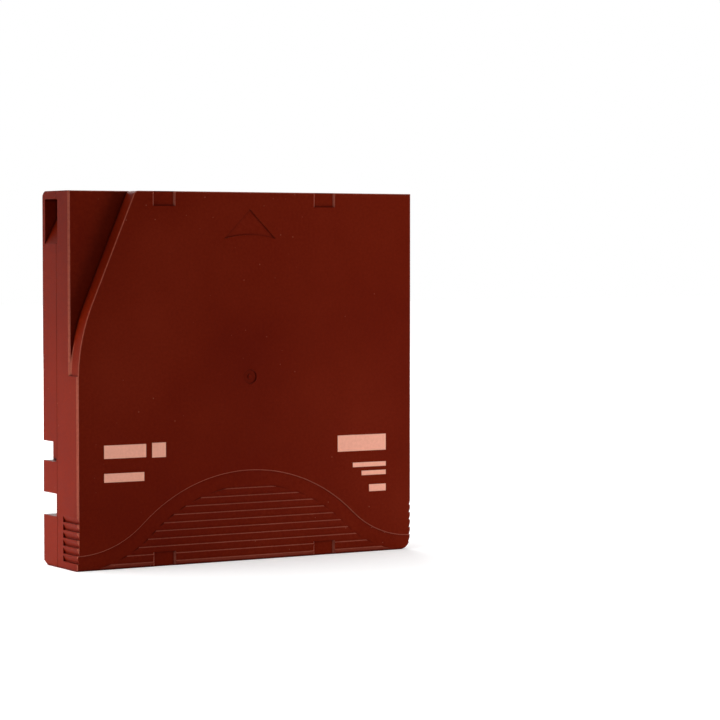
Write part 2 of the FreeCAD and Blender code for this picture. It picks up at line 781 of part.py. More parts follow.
def shape_top_edges(shell, step):
    """Rounds and bevels along the outer edges of the top face and of the guide."""
    half, length, top = value(HALF), value(LENGTH), value(TOP)
    nose_x, floor = -value("dims.guide_front"), value(GUIDE_FLOOR)
    corner = value("dims.corner_radius")
    nose = round_edges(
        shell, "guide_nose", step,
        lambda box: near(box.XMin, nose_x) and near(box.XMax, nose_x)
        and near(box.YMin, length) and near(box.ZMax, top),
        "dims.guide_nose",
    )
    round_edges(
        shell, "front_rim", nose,
        lambda box: near(box.ZMin, top) and box.YMin > value(GUIDE_END) + 0.01
        and not near(box.XMin, half) and box.XMax > value("dims.left_bevel") - half + 0.1,
        "dims.edge_round",
    )
    rear = round_edges(
        shell, "rear_rim", bevel_left_side(shell),
        lambda box: near(box.ZMin, value(BELL_FLOOR)) and near(box.ZMax, value(BELL_FLOOR))
        and box.YMax < corner + 0.1 and box.XLength > 1,
        "dims.edge_round",
    )
    round_edges(
        shell, "guide_rim", rear,
        lambda box: near(box.ZMin, floor) and near(box.ZMax, floor) and near(box.YMin, length),
        "dims.edge_round",
    )
    round_right_side(shell)


def make_upper_shell():
    """Top half of the case: guide step, grip field, windows and all that hangs inside."""
    shell = new_body("upper_moulding")
    add(shell, "upper_block", PARTING, TOP, case_outline())
    cut(shell, "guide_step", GUIDE_FLOOR, TOP, guide_outline())
    shape_top_edges(shell, cut_bell_field(shell))
    side = f"{HALF} - dims.wall"
    front = f"{LENGTH} - dims.wall"
    cut(shell, "low_room", PARTING, GUIDE_CEILING,
        rectangle(f"-({side})", side, "dims.wall", front))
    cut(shell, "high_room", GUIDE_CEILING, CEILING, upper_room_outline())
    add(shell, "upper_reel_walls", PARTING, CEILING, *reel_walls())
    holes = bosses("dims.boss_radius")
    add(shell, "upper_bosses", PARTING, CEILING, holes[0], holes[1], holes[3])
    add(shell, "guide_boss", PARTING, GUIDE_CEILING, holes[2])
    add_post(shell)
    add(shell, "upper_track", f"{CEILING} - dims.track_height", CEILING, door_track())
    add_pin_seat(shell, "upper_pin_seat", f"{CEILING} - dims.pin_seat_height", CEILING)
    add_spring_stop(shell)
    add_slot(shell, PARTING, "dims.slot_ceiling + dims.notch_wall", PARTING, "dims.slot_ceiling")
    keeper = "dims.switch_window_high + dims.switch_lip + dims.fit"
    add(
        shell, "switch_keeper", keeper, CEILING,
        rectangle(f"-({side})", SWITCH_RAIL_END, "dims.wall",
                  "dims.wall + dims.fit + dims.switch_thickness"),
    )
    screw_end = "dims.screw_recess + dims.screw_length + dims.screw_gap"
    cut(shell, "pilot_holes", PARTING, screw_end, *bosses("dims.screw_radius + dims.thread_gap"))
    cut(shell, "door_window_high", PARTING, CEILING, window_shape())
    cut(shell, "switch_window_high", PARTING, "dims.switch_window_high", switch_window())
    cut(shell, "label_high", "0", "dims.label_depth",
        label_outline(PARTING, f"{TOP} - dims.label_high_inset"), plane="XZ_Plane")
    cut(shell, "arrow", f"{TOP} - dims.mark_depth", TOP, arrow_outline())
    cut(shell, "gate_mark", f"{TOP} - dims.mark_depth", TOP,
        circle("0", CENTRE, "dims.gate_ring"), circle("0", CENTRE, "dims.gate_pip"))
    cut(shell, "side_grips", "dims.side_grip_low", f"{TOP} + dims.overcut",
        *saw_teeth("-1"), *saw_teeth("1"))
    ribbed = doc.addObject("Part::Fuse", "ribbed_moulding")
    ribbed.Base = shell
    ribbed.Tool = make_grip_ribs()
    finished = doc.addObject("Part::Cut", "upper_shell")
    finished.Label = "upper_shell"
    finished.Base = ribbed
    finished.Tool = make_edge_pockets()
    stand_up(finished)
    return finished


def add_post(shell):
    """Plus-shaped post that keeps the brake from turning, and the ring round its spring."""
    points = cross("dims.post_span", "dims.post_web")
    moved = [(x, f"{CENTRE} + {y}") for x, y in points]
    add(shell, "brake_post", POST_END, CEILING, path(moved))
    add(shell, "spring_ring", f"{CEILING} - dims.spring_ring_height", CEILING,
        circle("0", CENTRE, SPRING_RING),
        circle("0", CENTRE, f"{SPRING_RING} + dims.spring_ring_wall"))


def add_spring_stop(shell):
    """Lug on the right wall that the door's spring pushes against."""
    width = "2 * dims.door_spring_radius + dims.door_spring_wire + 2 * dims.fit"
    low = "dims.door_spring_height - dims.door_spring_radius - dims.door_spring_wire"
    wall = f"{HALF} - dims.wall"
    add(shell, "spring_stop", low, CEILING,
        rectangle(f"{wall} - ({width})", wall, f"{SPRING_REAR} - dims.spring_stop", SPRING_REAR))


# Lower shell

def notches():
    """Side notches as (rear, front, depth)."""
    return [
        ("dims.notch_low_rear", "dims.notch_low_front", "dims.notch_low_depth"),
        ("dims.notch_high_rear", "dims.notch_high_front", "dims.notch_high_depth"),
    ]


def bevel_under_ends(shell):
    """Lead-ins under both ends, rounded at the front and slanted at the rear."""
    rise = "dims.bottom_bevel_rise"
    below = "-dims.overcut"
    front = f"{LENGTH} - dims.bottom_bevel_front"
    past = f"{LENGTH} + dims.overcut"
    rear = "dims.bottom_bevel_rear"
    side = f"{HALF} + dims.overcut"
    cut(
        shell, "end_bevels", f"-({side})", side,
        path([(front, "0"), (front, below), (past, below), (past, rise), (LENGTH, rise)],
             {4: ("dims.bottom_bevel_round", "right")}),
        path([(rear, "0"), ("0", rise), (below, rise), (below, below), (rear, below)]),
        plane="YZ_Plane",
    )


def make_lower_shell():
    """Bottom half of the case: notches, ramped slot, hub opening and all that stands inside."""
    shell = new_body("lower_shell")
    add(shell, "lower_block", "0", PARTING, case_outline())
    bevel_under_ends(shell)
    side = f"{HALF} - dims.wall"
    front = f"{LENGTH} - dims.wall"
    cut(shell, "room", "dims.skin", PARTING, rectangle(f"-({side})", side, "dims.wall", front))
    outside = f"{HALF} + dims.overcut"
    cut(shell, "seam_groove", f"{PARTING} - dims.seam", PARTING, case_outline("dims.seam"),
        rectangle(f"-({outside})", outside, "-dims.overcut", f"{LENGTH} + dims.overcut"))
    add_notches(shell)
    add_slot(shell, "dims.slot_floor", PARTING, "dims.slot_floor", PARTING)
    add(shell, "lower_reel_walls", "dims.skin", PARTING, *reel_walls())
    add(shell, "lower_bosses", "dims.skin", PARTING, *bosses("dims.boss_radius"))
    add(shell, "hub_rim", "dims.skin", f"{FLANGE_LOW} - dims.seat",
        circle("0", CENTRE, "dims.hub_opening"),
        circle("0", CENTRE, "dims.hub_opening + dims.hub_rim"))
    cut(shell, "hub_opening", "0", "dims.skin", circle("0", CENTRE, "dims.hub_opening"))
    add(shell, "lower_track", "dims.skin", "dims.skin + dims.track_height", door_track())
    add_pin_seat(shell, "lower_pin_seat", "dims.skin", "dims.skin + dims.pin_seat_height")
    add_leaf_block(shell)
    add_switch_rail(shell)
    add_board_posts(shell)
    cut(shell, "screw_holes", "0", PARTING, *bosses("dims.screw_radius + dims.screw_gap"))
    cut(shell, "screw_recesses", "0", "dims.screw_recess + dims.screw_head_height",
        *bosses("dims.screw_head_radius + dims.screw_gap"))
    cut(shell, "door_window_low", "dims.skin", PARTING, window_shape())
    cut(shell, "switch_window_low", "dims.switch_window_low", PARTING, switch_window())
    cut(shell, "label_low", "0", "dims.label_depth",
        label_outline("dims.label_low_inset", PARTING), plane="XZ_Plane")
    stand_up(shell)
    return shell


def add_notches(shell):
    """Loader notches in both sides, each with its own inner walls."""
    blocks = []
    hollows = []
    for rear, front, depth in notches():
        for side in ("-1", "1"):
            inner = f"{side} * ({HALF} - {depth} - dims.notch_wall)"
            wall = f"{side} * ({HALF} - dims.wall / 2)"
            behind = f"{rear} - dims.notch_wall"
            blocks.append(rectangle(wall, inner, behind, f"{front} + dims.notch_wall"))
            outside = f"{side} * ({HALF} + dims.overcut)"
            hollows.append(rectangle(outside, f"{side} * ({HALF} - {depth})", rear, front))
    add(shell, "notch_blocks", "dims.skin", PARTING, *blocks)
    cut(shell, "notches", "-dims.overcut", "dims.notch_ceiling", *hollows)


def add_slot(shell, wall_low, wall_high, low, high):
    """One shell's share of the slot with a ramped floor in the left side, and its inner wall."""
    deep = f"dims.slot_depth - {HALF}"
    wall = f"dims.wall / 2 - {HALF}"
    inner = f"{deep} + dims.notch_wall"
    front = f"{LENGTH} - dims.slot_inset"
    rear = f"{front} - dims.slot_length"
    knee = f"{rear} + dims.slot_ramp"
    block_front = f"{LENGTH} - dims.wall / 2"
    add(shell, "slot_block", wall_low, wall_high,
        path([(wall, f"{rear} - dims.notch_wall"), (inner, knee),
              (inner, block_front), (wall, block_front)]))
    outside = f"-({HALF} + dims.overcut)"
    cut(shell, "slot", low, high,
        path([(outside, rear), (f"-{HALF}", rear), (deep, knee), (deep, front), (outside, front)]))


def add_leaf_block(shell):
    """Block that traps the foot of the leader pin's leaf spring against the front wall."""
    high = f"{LENGTH} - dims.wall - 2 * dims.fit - dims.leaf_thickness"
    left = f"{PIN_X} - dims.leaf_base"
    add(shell, "leaf_block", "dims.skin", PARTING,
        rectangle(left, f"{left} + dims.leaf_base / 2", f"{high} - dims.leaf_block", high))


def add_switch_rail(shell):
    """Shelf and rail that the write-protect switch slides on."""
    left = f"dims.wall - {HALF}"
    behind = "dims.wall + 2 * dims.fit + dims.switch_thickness"
    add(shell, "switch_rail", "dims.skin", PARTING,
        rectangle(left, SWITCH_RAIL_END, behind, f"{behind} + dims.switch_rail"))
    add(shell, "switch_shelf", "dims.skin", "dims.switch_window_low - dims.switch_lip - dims.fit",
        rectangle(left, SWITCH_RAIL_END, "dims.wall", behind))


def turned(radius, across, angle, y="0"):
    """Point at a radius along an angle, and across it to the left."""
    return (
        f"({radius}) * cos({angle}) - ({across}) * sin({angle})",
        f"{y} + ({radius}) * sin({angle}) + ({across}) * cos({angle})",
    )


def slab(inner, outer, low, high, angle, y="0"):
    """Rectangle between two radii along an angle and between two distances across it."""
    return path([
        turned(inner, low, angle, y), turned(outer, low, angle, y),
        turned(outer, high, angle, y), turned(inner, high, angle, y),
    ])


BOARD_ANGLE = "225"
BOARD_FACE = f"({FLANGE_RADIUS} + dims.reel_wall_gap + dims.reel_wall_thickness + dims.board_gap)"


def board_slab(gap):
    """Outline of the memory board, grown by a gap."""
    half = f"dims.board_width / 2 + {gap}"
    outer = f"{BOARD_FACE} + dims.board_thickness + {gap}"
    return slab(f"{BOARD_FACE} - {gap}", outer, f"-({half})", half, BOARD_ANGLE, CENTRE)


def add_board_posts(shell):
    """Two slotted posts that hold the memory board across the rear left corner."""
    middle = f"{BOARD_FACE} + dims.board_thickness / 2"
    post = "dims.board_post / 2"
    inner = "dims.board_width / 2 - dims.board_slot_depth"
    outer = f"{inner} + dims.board_post"
    posts = []
    for low, high in ((inner, outer), (f"-({outer})", f"-({inner})")):
        posts.append(
            slab(f"{middle} - {post}", f"{middle} + {post}", low, high, BOARD_ANGLE, CENTRE)
        )
    add(shell, "board_posts", "dims.skin", PARTING, *posts)
    cut(shell, "board_slots", "dims.skin", PARTING, board_slab("dims.fit"))


def make_case_screws():
    """Four screws driven up from the bottom face into the upper shell's bosses."""
    screw = new_body("case_screw")
    head = "dims.screw_recess"
    neck = "dims.screw_recess + dims.screw_head_height"
    end = f"{head} + dims.screw_length"
    radius = "dims.screw_radius"
    revolve(screw, "screw_profile", path([
        ("0", head), ("dims.screw_head_radius", head), ("dims.screw_head_radius", neck),
        (radius, neck), (radius, f"{end} - {radius}"), ("0", end),
    ]))
    cut(screw, "screw_recess", head, f"{head} + dims.screw_slot_depth",
        path(cross("dims.screw_slot_length", "dims.screw_slot")))
    doc.recompute()
    copies = []
    for x, y in SCREWS:
        copy = screw.Shape.copy()
        copy.translate(Vector(value(x), value(y), 0))
        copies.append(copy)
    group = doc.addObject("Part::Feature", "case_screws")
    group.Label = "case_screws"
    group.Shape = Part.makeCompound(copies)
    stand_up(group)
    return group


# Reel, modelled round its own axis

def make_reel_hub():
    """Hub with the lower flange, drive teeth below its floor and brake teeth above it."""
    hub = new_body("reel_hub")
    lip = f"{HUB_INSIDE} + dims.hub_lip"
    lip_top = f"{FLANGE_HIGH} + dims.flange_thickness"
    flange_top = f"{FLANGE_LOW} + dims.flange_thickness"
    revolve(hub, "hub_profile", path([
        ("0", HUB_FLOOR_TOP), (HUB_INSIDE, HUB_FLOOR_TOP), (HUB_INSIDE, lip_top), (lip, lip_top),
        (lip, FLANGE_HIGH), (HUB_RADIUS, FLANGE_HIGH), (HUB_RADIUS, flange_top),
        (FLANGE_RADIUS, flange_top), (FLANGE_RADIUS, FLANGE_LOW),
        (DRIVE_BOSS, FLANGE_LOW), (DRIVE_BOSS, "dims.drive_root"),
        ("0", "dims.drive_root"),
    ]))
    cut(hub, "clutch_seat", "dims.drive_root", "dims.drive_root + dims.clutch_recess",
        circle("0", "0", f"{CLUTCH_OUTER} + dims.tape_seat"))
    add_drive_teeth(hub)
    add_brake_teeth(hub)
    half = "dims.spider_arm / 2 + dims.foot_gap"
    inner = f"{BRAKE_INNER} - dims.overcut"
    outer = f"{BRAKE_OUTER} + dims.overcut"
    arms = []
    feet = []
    for angle in ("0", "120", "240"):
        arms.append(slab(inner, outer, f"-({half})", half, angle))
        feet.append(circle(*polar(FOOT_CIRCLE, angle), "dims.foot_radius + dims.foot_gap"))
    cut(hub, "arm_ways", HUB_FLOOR_TOP, f"{BRAKE_PAD} + dims.brake_tooth_height", *arms)
    cut(hub, "foot_holes", DRIVE_TIP, HUB_FLOOR_TOP, *feet)
    stand_up(hub, y=CENTRE)
    return hub


def ridge(width, root, tip, buried):
    """Triangular section of a tooth that stands on a root, with its base buried in it."""
    half = f"{width} / 2"
    return path([
        (f"-{half}", buried), (f"-{half}", root), ("0", tip), (half, root), (half, buried),
    ])


def add_drive_teeth(hub):
    """Ring of radial teeth that the drive's spindle meshes with."""
    tooth = add(
        hub, "drive_tooth", DRIVE_INNER, DRIVE_OUTER,
        ridge("dims.drive_tooth_width", "dims.drive_root", DRIVE_TIP,
              "dims.drive_root + dims.seat"),
        plane="YZ_Plane",
    )
    repeat_round(hub, "drive_teeth", [tooth], "dims.drive_tooth_count")


def add_brake_teeth(hub):
    """Ring of brake teeth on the hub's floor."""
    add(hub, "brake_ring", HUB_FLOOR_TOP, BRAKE_PAD,
        circle("0", "0", BRAKE_INNER), circle("0", "0", BRAKE_OUTER))
    tooth = add(
        hub, "brake_tooth", f"{BRAKE_INNER} + dims.seat", f"{BRAKE_OUTER} - dims.seat",
        ridge("dims.brake_tooth_width", BRAKE_PAD, f"{BRAKE_PAD} + dims.brake_tooth_height",
              f"{BRAKE_PAD} - dims.seat"),
        plane="YZ_Plane",
    )
    repeat_round(hub, "brake_teeth", [tooth], "dims.brake_tooth_count")


def make_ring(label, inner, outer, low, high, y=CENTRE):
    """Flat ring round the reel's axis."""
    body = new_body(label)
    add(body, label + "_ring", low, high, circle("0", "0", inner), circle("0", "0", outer))
    stand_up(body, y=y)
    return body


def make_upper_flange():
    """Upper flange of the reel, welded on the hub's end round its lip."""
    bore = f"{HUB_INSIDE} + dims.hub_lip + dims.tape_seat"
    high = f"{FLANGE_HIGH} + dims.flange_thickness"
    return make_ring("reel_upper_flange", bore, FLANGE_RADIUS, FLANGE_HIGH, high)


def make_tape_pack():
    """The wound tape, whose turns are one solid."""
    inner = f"{HUB_RADIUS} + dims.tape_seat"
    return make_ring("tape_pack", inner, TAPE_RADIUS, TAPE_LOW, TAPE_HIGH)


def make_clutch_plate():
    """Steel ring under the hub that the spindle's magnet pulls on."""
    top = "dims.drive_root + dims.clutch_recess"
    plate = make_ring("clutch_plate", "dims.clutch_inner", CLUTCH_OUTER,
                      f"{top} - dims.clutch_thickness", top)
    rivet_circle = f"({CLUTCH_OUTER} + dims.clutch_inner) / 2"
    rivets = [
        circle(*polar(rivet_circle, angle), "dims.clutch_rivet")
        for angle in ("60", "180", "300")
    ]
    cut(plate, "rivet_holes", f"{top} - dims.clutch_thickness", top, *rivets)
    return plate


# Reel brake

def make_brake_plate():
    """Toothed disc with a socket that slides on the upper shell's post."""
    plate = new_body("brake_plate")
    tips = f"{BRAKE_LOW} - dims.brake_tooth_height"
    add(plate, "brake_disc", BRAKE_LOW, BRAKE_HIGH,
        circle("0", "0", f"{BRAKE_OUTER} + dims.brake_rim"))
    add(plate, "tooth_ring", tips, BRAKE_LOW,
        circle("0", "0", BRAKE_INNER), circle("0", "0", BRAKE_OUTER))
    groove = cut(
        plate, "tooth_groove", f"{BRAKE_INNER} - dims.seat", f"{BRAKE_OUTER} + dims.seat",
        ridge("dims.brake_tooth_width", tips, BRAKE_LOW, f"{tips} - dims.seat"),
        plane="YZ_Plane",
    )
    repeat_round(plate, "tooth_grooves", [groove], "dims.brake_tooth_count")
    add(plate, "brake_pip", f"{SPIDER_HIGH} + dims.seat", BRAKE_LOW,
        circle("0", "0", "dims.brake_pip"))
    socket_top = f"{BRAKE_HIGH} + dims.brake_socket_height"
    add(plate, "brake_socket", BRAKE_HIGH, socket_top, circle("0", "0", "dims.brake_socket_radius"))
    cut(plate, "socket_way", SOCKET_FLOOR, socket_top,
        path(cross("dims.post_span + 2 * dims.fit", "dims.post_web + 2 * dims.fit")))
    stand_up(plate, y=CENTRE)
    return plate


def make_release_spider():
    """Three-armed plate whose feet the spindle pushes to free the brake."""
    spider = new_body("release_spider")
    add(spider, "spider_centre", SPIDER_LOW, SPIDER_HIGH, circle("0", "0", "dims.spider_centre"))
    half = "dims.spider_arm / 2"
    arm = add(spider, "spider_arm", SPIDER_LOW, SPIDER_HIGH,
              rectangle("0", FOOT_CIRCLE, f"-{half}", half))
    tip = add(spider, "spider_tip", SPIDER_LOW, SPIDER_HIGH, circle(FOOT_CIRCLE, "0", half))
    foot = add(spider, "spider_foot", f"{DRIVE_TIP} + dims.foot_inset", SPIDER_LOW,
               circle(FOOT_CIRCLE, "0", "dims.foot_radius"))
    repeat_round(spider, "spider_arms", [arm, tip, foot], "3")
    stand_up(spider, y=CENTRE)
    return spider


# Springs

def coil(label, length):
    """Helical spring of square wire about its own Z axis, in straight chords."""
    radius = value(f"dims.{label}_radius")
    wire = value(f"dims.{label}_wire")
    sides = int(value(f"dims.{label}_sides"))
    steps = int(value(f"dims.{label}_turns")) * sides
    points = [
        Vector(
            radius * math.cos(2 * math.pi * step / sides),
            radius * math.sin(2 * math.pi * step / sides),
            wire / 2 + (length - wire) * step / steps,
        )
        for step in range(steps + 1)
    ]
    start = points[1] - points[0]
    half = wire / 2
    turn = FreeCAD.Rotation(Vector(0, 1, 0), start)
    corners = [
        points[0] + turn.multVec(Vector(across, 0, along))
        for across, along in ((half, half), (-half, half), (-half, -half), (half, -half))
    ]
    section = Part.makePolygon(corners + corners[:1])
    spring = doc.addObject("Part::Feature", label)
    spring.Label = label
    spring.Shape = Part.Wire(Part.makePolygon(points)).makePipeShell([section], True, True, 1)
    return spring


def make_brake_spring():
    """Coil spring that presses the brake plate on the hub."""
    low = value(BRAKE_HIGH) + value("dims.tape_seat")
    high = value(CEILING) - value("dims.tape_seat")
    spring = coil("brake_spring", high - low)
    stand_up(spring, y=CENTRE, z=f"{BRAKE_HIGH} + dims.tape_seat")
    return spring


def make_door_spring():
    """Long coil spring along the right wall that pushes the door shut."""
    length = value("dims.door_spring_length - 2 * dims.tape_seat")
    spring = coil("door_spring", length)
    spring.setExpression("Placement.Base.x", SPRING_X)
    spring.setExpression("Placement.Base.y", f"{TOP} / 2 - dims.door_spring_height")
    spring.setExpression("Placement.Base.z", f"{SPRING_REAR} + dims.tape_seat")
    return spring


# Door, write-protect switch and cartridge memory

def make_access_door():
    """Sliding door behind the right wall, with the tab that the drive pushes back."""
    door = new_body("access_door")
    outer = f"{HALF} - dims.wall - dims.fit"
    low = "dims.skin + dims.fit"
    high = f"{CEILING} - dims.fit"
    add(door, "door_plate", low, high,
        rectangle(f"{outer} - dims.door_thickness", outer, DOOR_REAR, DOOR_FRONT))
    tab_front = f"{WINDOW_FRONT} - dims.fit"
    add(door, "door_tab", f"{low} + dims.door_tab_margin", f"{high} - dims.door_tab_margin",
        rectangle(f"{outer} - dims.fit", f"{outer} + dims.door_tab_reach",
                  f"{tab_front} - dims.door_tab_length", tab_front))
    guide = "dims.door_spring_radius - dims.door_spring_wire / 2 - dims.seat"
    add(door, "spring_guide", f"{DOOR_REAR} - dims.door_guide", DOOR_REAR,
        circle(SPRING_X, "dims.door_spring_height", guide), plane="XZ_Plane")
    stand_up(door)
    return door


def make_write_protect_switch():
    """Sliding tab in the rear window that a finger moves across."""
    switch = new_body("write_protect_switch")
    left = f"{SWITCH_LEFT} + dims.fit"
    right = f"{left} + dims.switch_nib"
    low = "dims.switch_window_low"
    high = "dims.switch_window_high"
    behind = "dims.wall + dims.fit"
    add(switch, "switch_slide", f"{low} - dims.switch_lip", f"{high} + dims.switch_lip",
        rectangle(f"{left} - dims.switch_overlap", f"{right} + dims.switch_overlap",
                  behind, f"{behind} + dims.switch_thickness"))
    add(switch, "switch_nib", f"{low} + dims.fit", f"{high} - dims.fit",
        rectangle(left, right, "dims.switch_inset", f"{behind} + dims.fit"))
    grooves = [
        rectangle(f"{left} + {number} * dims.switch_nib / 4 - dims.switch_groove / 2",
                  f"{left} + {number} * dims.switch_nib / 4 + dims.switch_groove / 2",
                  "dims.switch_inset", "dims.switch_inset + dims.switch_groove")
        for number in (1, 2, 3)
    ]
    cut(switch, "switch_grooves", f"{low} + dims.fit", f"{high} - dims.fit", *grooves)
    stand_up(switch)
    return switch


def make_memory_board():
    """Small circuit board that stands in two slotted posts."""
    board = new_body("memory_board")
    low = "dims.skin + dims.seat"
    add(board, "board", low, f"{low} + dims.board_height", board_slab("0"))
    stand_up(board)
    return board


def make_memory_chip():
    """Memory chip on the outer face of its board."""
    chip = new_body("memory_chip")
    face = f"{BOARD_FACE} + dims.board_thickness"
    half = "dims.chip_size / 2"
    middle = "dims.skin + dims.seat + dims.board_height / 2"
    add(chip, "chip", f"{middle} - {half}", f"{middle} + {half}",
        slab(face, f"{face} + dims.chip_thickness", f"-{half}", half, BOARD_ANGLE, CENTRE))
    stand_up(chip)
    return chip


# Leader pin and what goes with it

def make_leader_pin():
    """Steel pin at the tape's free end, with a flange at each edge of the tape."""
    pin = new_body("leader_pin")
    low = "dims.skin + dims.pin_end_gap"
    high = f"{CEILING} - dims.pin_end_gap"
    low_flange = f"{TAPE_LOW} - dims.tape_clearance"
    high_flange = f"{TAPE_HIGH} + dims.tape_clearance"
    end, flange, shaft = "dims.pin_end_radius", "dims.pin_flange_radius", "dims.pin_radius"
    revolve(pin, "pin_profile", path([
        ("0", low), (end, low), (end, f"{low_flange} - dims.pin_flange"),
        (flange, f"{low_flange} - dims.pin_flange"), (flange, low_flange),
        (shaft, low_flange), (shaft, high_flange), (flange, high_flange),
        (flange, f"{high_flange} + dims.pin_flange"), (end, f"{high_flange} + dims.pin_flange"),
        (end, high), ("0", high),
    ]))
    stand_up(pin, PIN_X, PIN_Y)
    return pin


def make_pin_clip():
    """Slit sleeve that snaps on the pin over the end of the tape."""
    clip = new_body("pin_clip")
    low = f"{TAPE_LOW} + dims.clip_margin"
    high = f"{TAPE_HIGH} - dims.clip_margin"
    inner = "dims.pin_radius + dims.tape_seat"
    outer = f"{inner} + dims.clip_wall"
    add(clip, "clip_sleeve", low, high, circle("0", "0", inner), circle("0", "0", outer))
    half = "dims.clip_gap / 2"
    cut(clip, "clip_slit", low, high,
        slab("dims.pin_radius / 2", f"{outer} + dims.overcut", f"-{half}", half,
             f"({TANGENT_ANGLE} + 90 deg)"))
    stand_up(clip, PIN_X, PIN_Y)
    return clip


def make_leader_tape():
    """Free stretch of tape from the wound pack to the pin."""
    leader = new_body("leader_tape")
    half = "dims.leader_thickness / 2"
    run = f"sqrt({PIN_DISTANCE}^2 - ({TANGENT_RADIUS})^2)"
    end = f"{run} - dims.pin_radius - dims.seat"
    add(leader, "leader", TAPE_LOW, TAPE_HIGH,
        slab(f"{TANGENT_RADIUS} - {half}", f"{TANGENT_RADIUS} + {half}", f"-({end})", "0",
             TANGENT_ANGLE, CENTRE))
    stand_up(leader)
    return leader


def make_pin_spring():
    """Bent leaf spring whose two arms hold the pin in its seats."""
    leaf = new_body("pin_spring")
    half = "dims.leaf_thickness / 2"
    wall = f"{LENGTH} - dims.wall - dims.fit"
    left = f"{PIN_X} - dims.leaf_base"
    bend = f"{PIN_X} + dims.pin_end_radius / 2"
    arm = f"({PIN_X} + dims.pin_flange_radius + dims.seat + {half})"
    knee = f"{PIN_Y} + dims.pin_end_radius"
    end = f"{PIN_Y} - dims.leaf_reach"
    low = "dims.skin + dims.pin_seat_height + dims.seat"
    high = f"{CEILING} - dims.pin_seat_height - dims.seat"
    face = f"{wall} - dims.leaf_thickness"
    add(leaf, "leaf_strip", low, high, path([
        (left, face), (f"{bend} - {half}", face),
        (f"{arm} - {half}", knee), (f"{arm} - {half}", end), (f"{arm} + {half}", end),
        (f"{arm} + {half}", knee), (f"{bend} + {half}", wall), (left, wall),
    ]))
    cut(leaf, "leaf_opening", f"{low} + dims.leaf_arm", f"{high} - dims.leaf_arm",
        rectangle(PIN_X, f"{arm} + dims.overcut", f"{end} - dims.overcut",
                  f"{wall} + dims.overcut"))
    stand_up(leaf)
    return leaf


def check(pieces):
    """Stops unless every object and every finished piece is sound."""
    for item in doc.Objects:
        if {"Invalid", "Error"} & set(item.State):
            raise RuntimeError(f"{item.Name} failed: {item.State}")
    for piece in pieces:
        if piece.Shape.isNull() or not piece.Shape.isValid():
            raise RuntimeError(f"{piece.Label} has no sound shape")


def main():
    """Makes every piece of the cartridge and writes one file for each."""
    pieces = [
        make_upper_shell(), make_lower_shell(), make_case_screws(),
        make_reel_hub(), make_upper_flange(), make_tape_pack(), make_clutch_plate(),
        make_brake_plate(), make_release_spider(), make_brake_spring(),
        make_access_door(), make_door_spring(), make_write_protect_switch(),
        make_memory_board(), make_memory_chip(),
        make_leader_pin(), make_pin_clip(), make_leader_tape(), make_pin_spring(),
    ]
    doc.recompute()
    check(pieces)
    os.makedirs("parts", exist_ok=True)
    for piece in pieces:
        piece.Shape.exportStep(f"parts/{piece.Label}.step")
        print(f"{piece.Label}: {len(piece.Shape.Solids)} solid(s), {piece.Shape.Volume:.1f} mm3")


main()
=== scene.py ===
import math

import bmesh
import bpy
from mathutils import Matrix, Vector


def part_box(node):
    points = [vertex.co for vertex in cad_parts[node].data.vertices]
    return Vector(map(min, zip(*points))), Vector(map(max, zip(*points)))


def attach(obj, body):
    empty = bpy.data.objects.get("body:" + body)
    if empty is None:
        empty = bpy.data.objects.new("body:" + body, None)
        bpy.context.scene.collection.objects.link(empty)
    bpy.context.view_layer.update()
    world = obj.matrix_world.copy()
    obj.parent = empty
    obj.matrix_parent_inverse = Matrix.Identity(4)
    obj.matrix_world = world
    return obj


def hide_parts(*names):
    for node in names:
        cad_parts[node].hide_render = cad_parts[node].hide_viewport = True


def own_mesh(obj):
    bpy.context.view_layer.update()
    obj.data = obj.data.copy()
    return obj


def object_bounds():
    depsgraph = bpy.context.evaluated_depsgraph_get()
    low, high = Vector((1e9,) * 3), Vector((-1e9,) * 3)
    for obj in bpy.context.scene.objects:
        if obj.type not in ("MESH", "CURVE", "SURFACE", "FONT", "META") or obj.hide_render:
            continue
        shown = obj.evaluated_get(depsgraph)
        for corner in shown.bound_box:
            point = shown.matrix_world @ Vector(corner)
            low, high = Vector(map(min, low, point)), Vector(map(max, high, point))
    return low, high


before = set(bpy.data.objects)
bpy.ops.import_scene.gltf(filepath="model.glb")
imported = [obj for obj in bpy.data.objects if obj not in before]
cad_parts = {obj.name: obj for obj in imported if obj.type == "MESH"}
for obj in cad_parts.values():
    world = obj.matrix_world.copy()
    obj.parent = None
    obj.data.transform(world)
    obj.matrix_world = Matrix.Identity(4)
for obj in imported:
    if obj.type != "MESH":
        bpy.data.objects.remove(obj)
cad_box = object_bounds()

# Camera. A long lens looks at the top face from the left and a little above the middle of the
# cartridge, which stands on its rear end.
LENS = 130.64
SENSOR = 36.0
CAMERA_PLACE = (-0.35002, -0.64331, 0.08635)
CAMERA_DIP = 2.437
CAMERA_TURN = -31.366

camera_data = bpy.data.cameras.new("camera")
camera_data.lens = LENS
camera_data.sensor_width = SENSOR
camera_data.clip_start = 0.01
camera = bpy.data.objects.new("camera", camera_data)
camera.location = CAMERA_PLACE
camera.rotation_euler = (math.radians(90 - CAMERA_DIP), 0, math.radians(CAMERA_TURN))
bpy.context.scene.collection.objects.link(camera)
bpy.context.scene.camera = camera

# Lower shell and access door. The half of the case that the reel shows through, and the door
# that slides along its right wall. Both are injection moulded in dark red polycarbonate, in a
# spark-eroded mould that leaves a fine even grain. Their rounded rims are painted lighter, a
# painted highlight broken up like rubbed wear, and their inner corners are painted darker as
# shade.
CASE_RED = (0.099, 0.0058, 0.0008)
CASE_RED_DEEP = (0.082, 0.0037, 0.0004)
CASE_RED_PALE = (0.118, 0.0088, 0.0021)
# Painted highlight colour for the rounded rims.
CASE_RIM_HIGHLIGHT = (0.300, 0.078, 0.050)
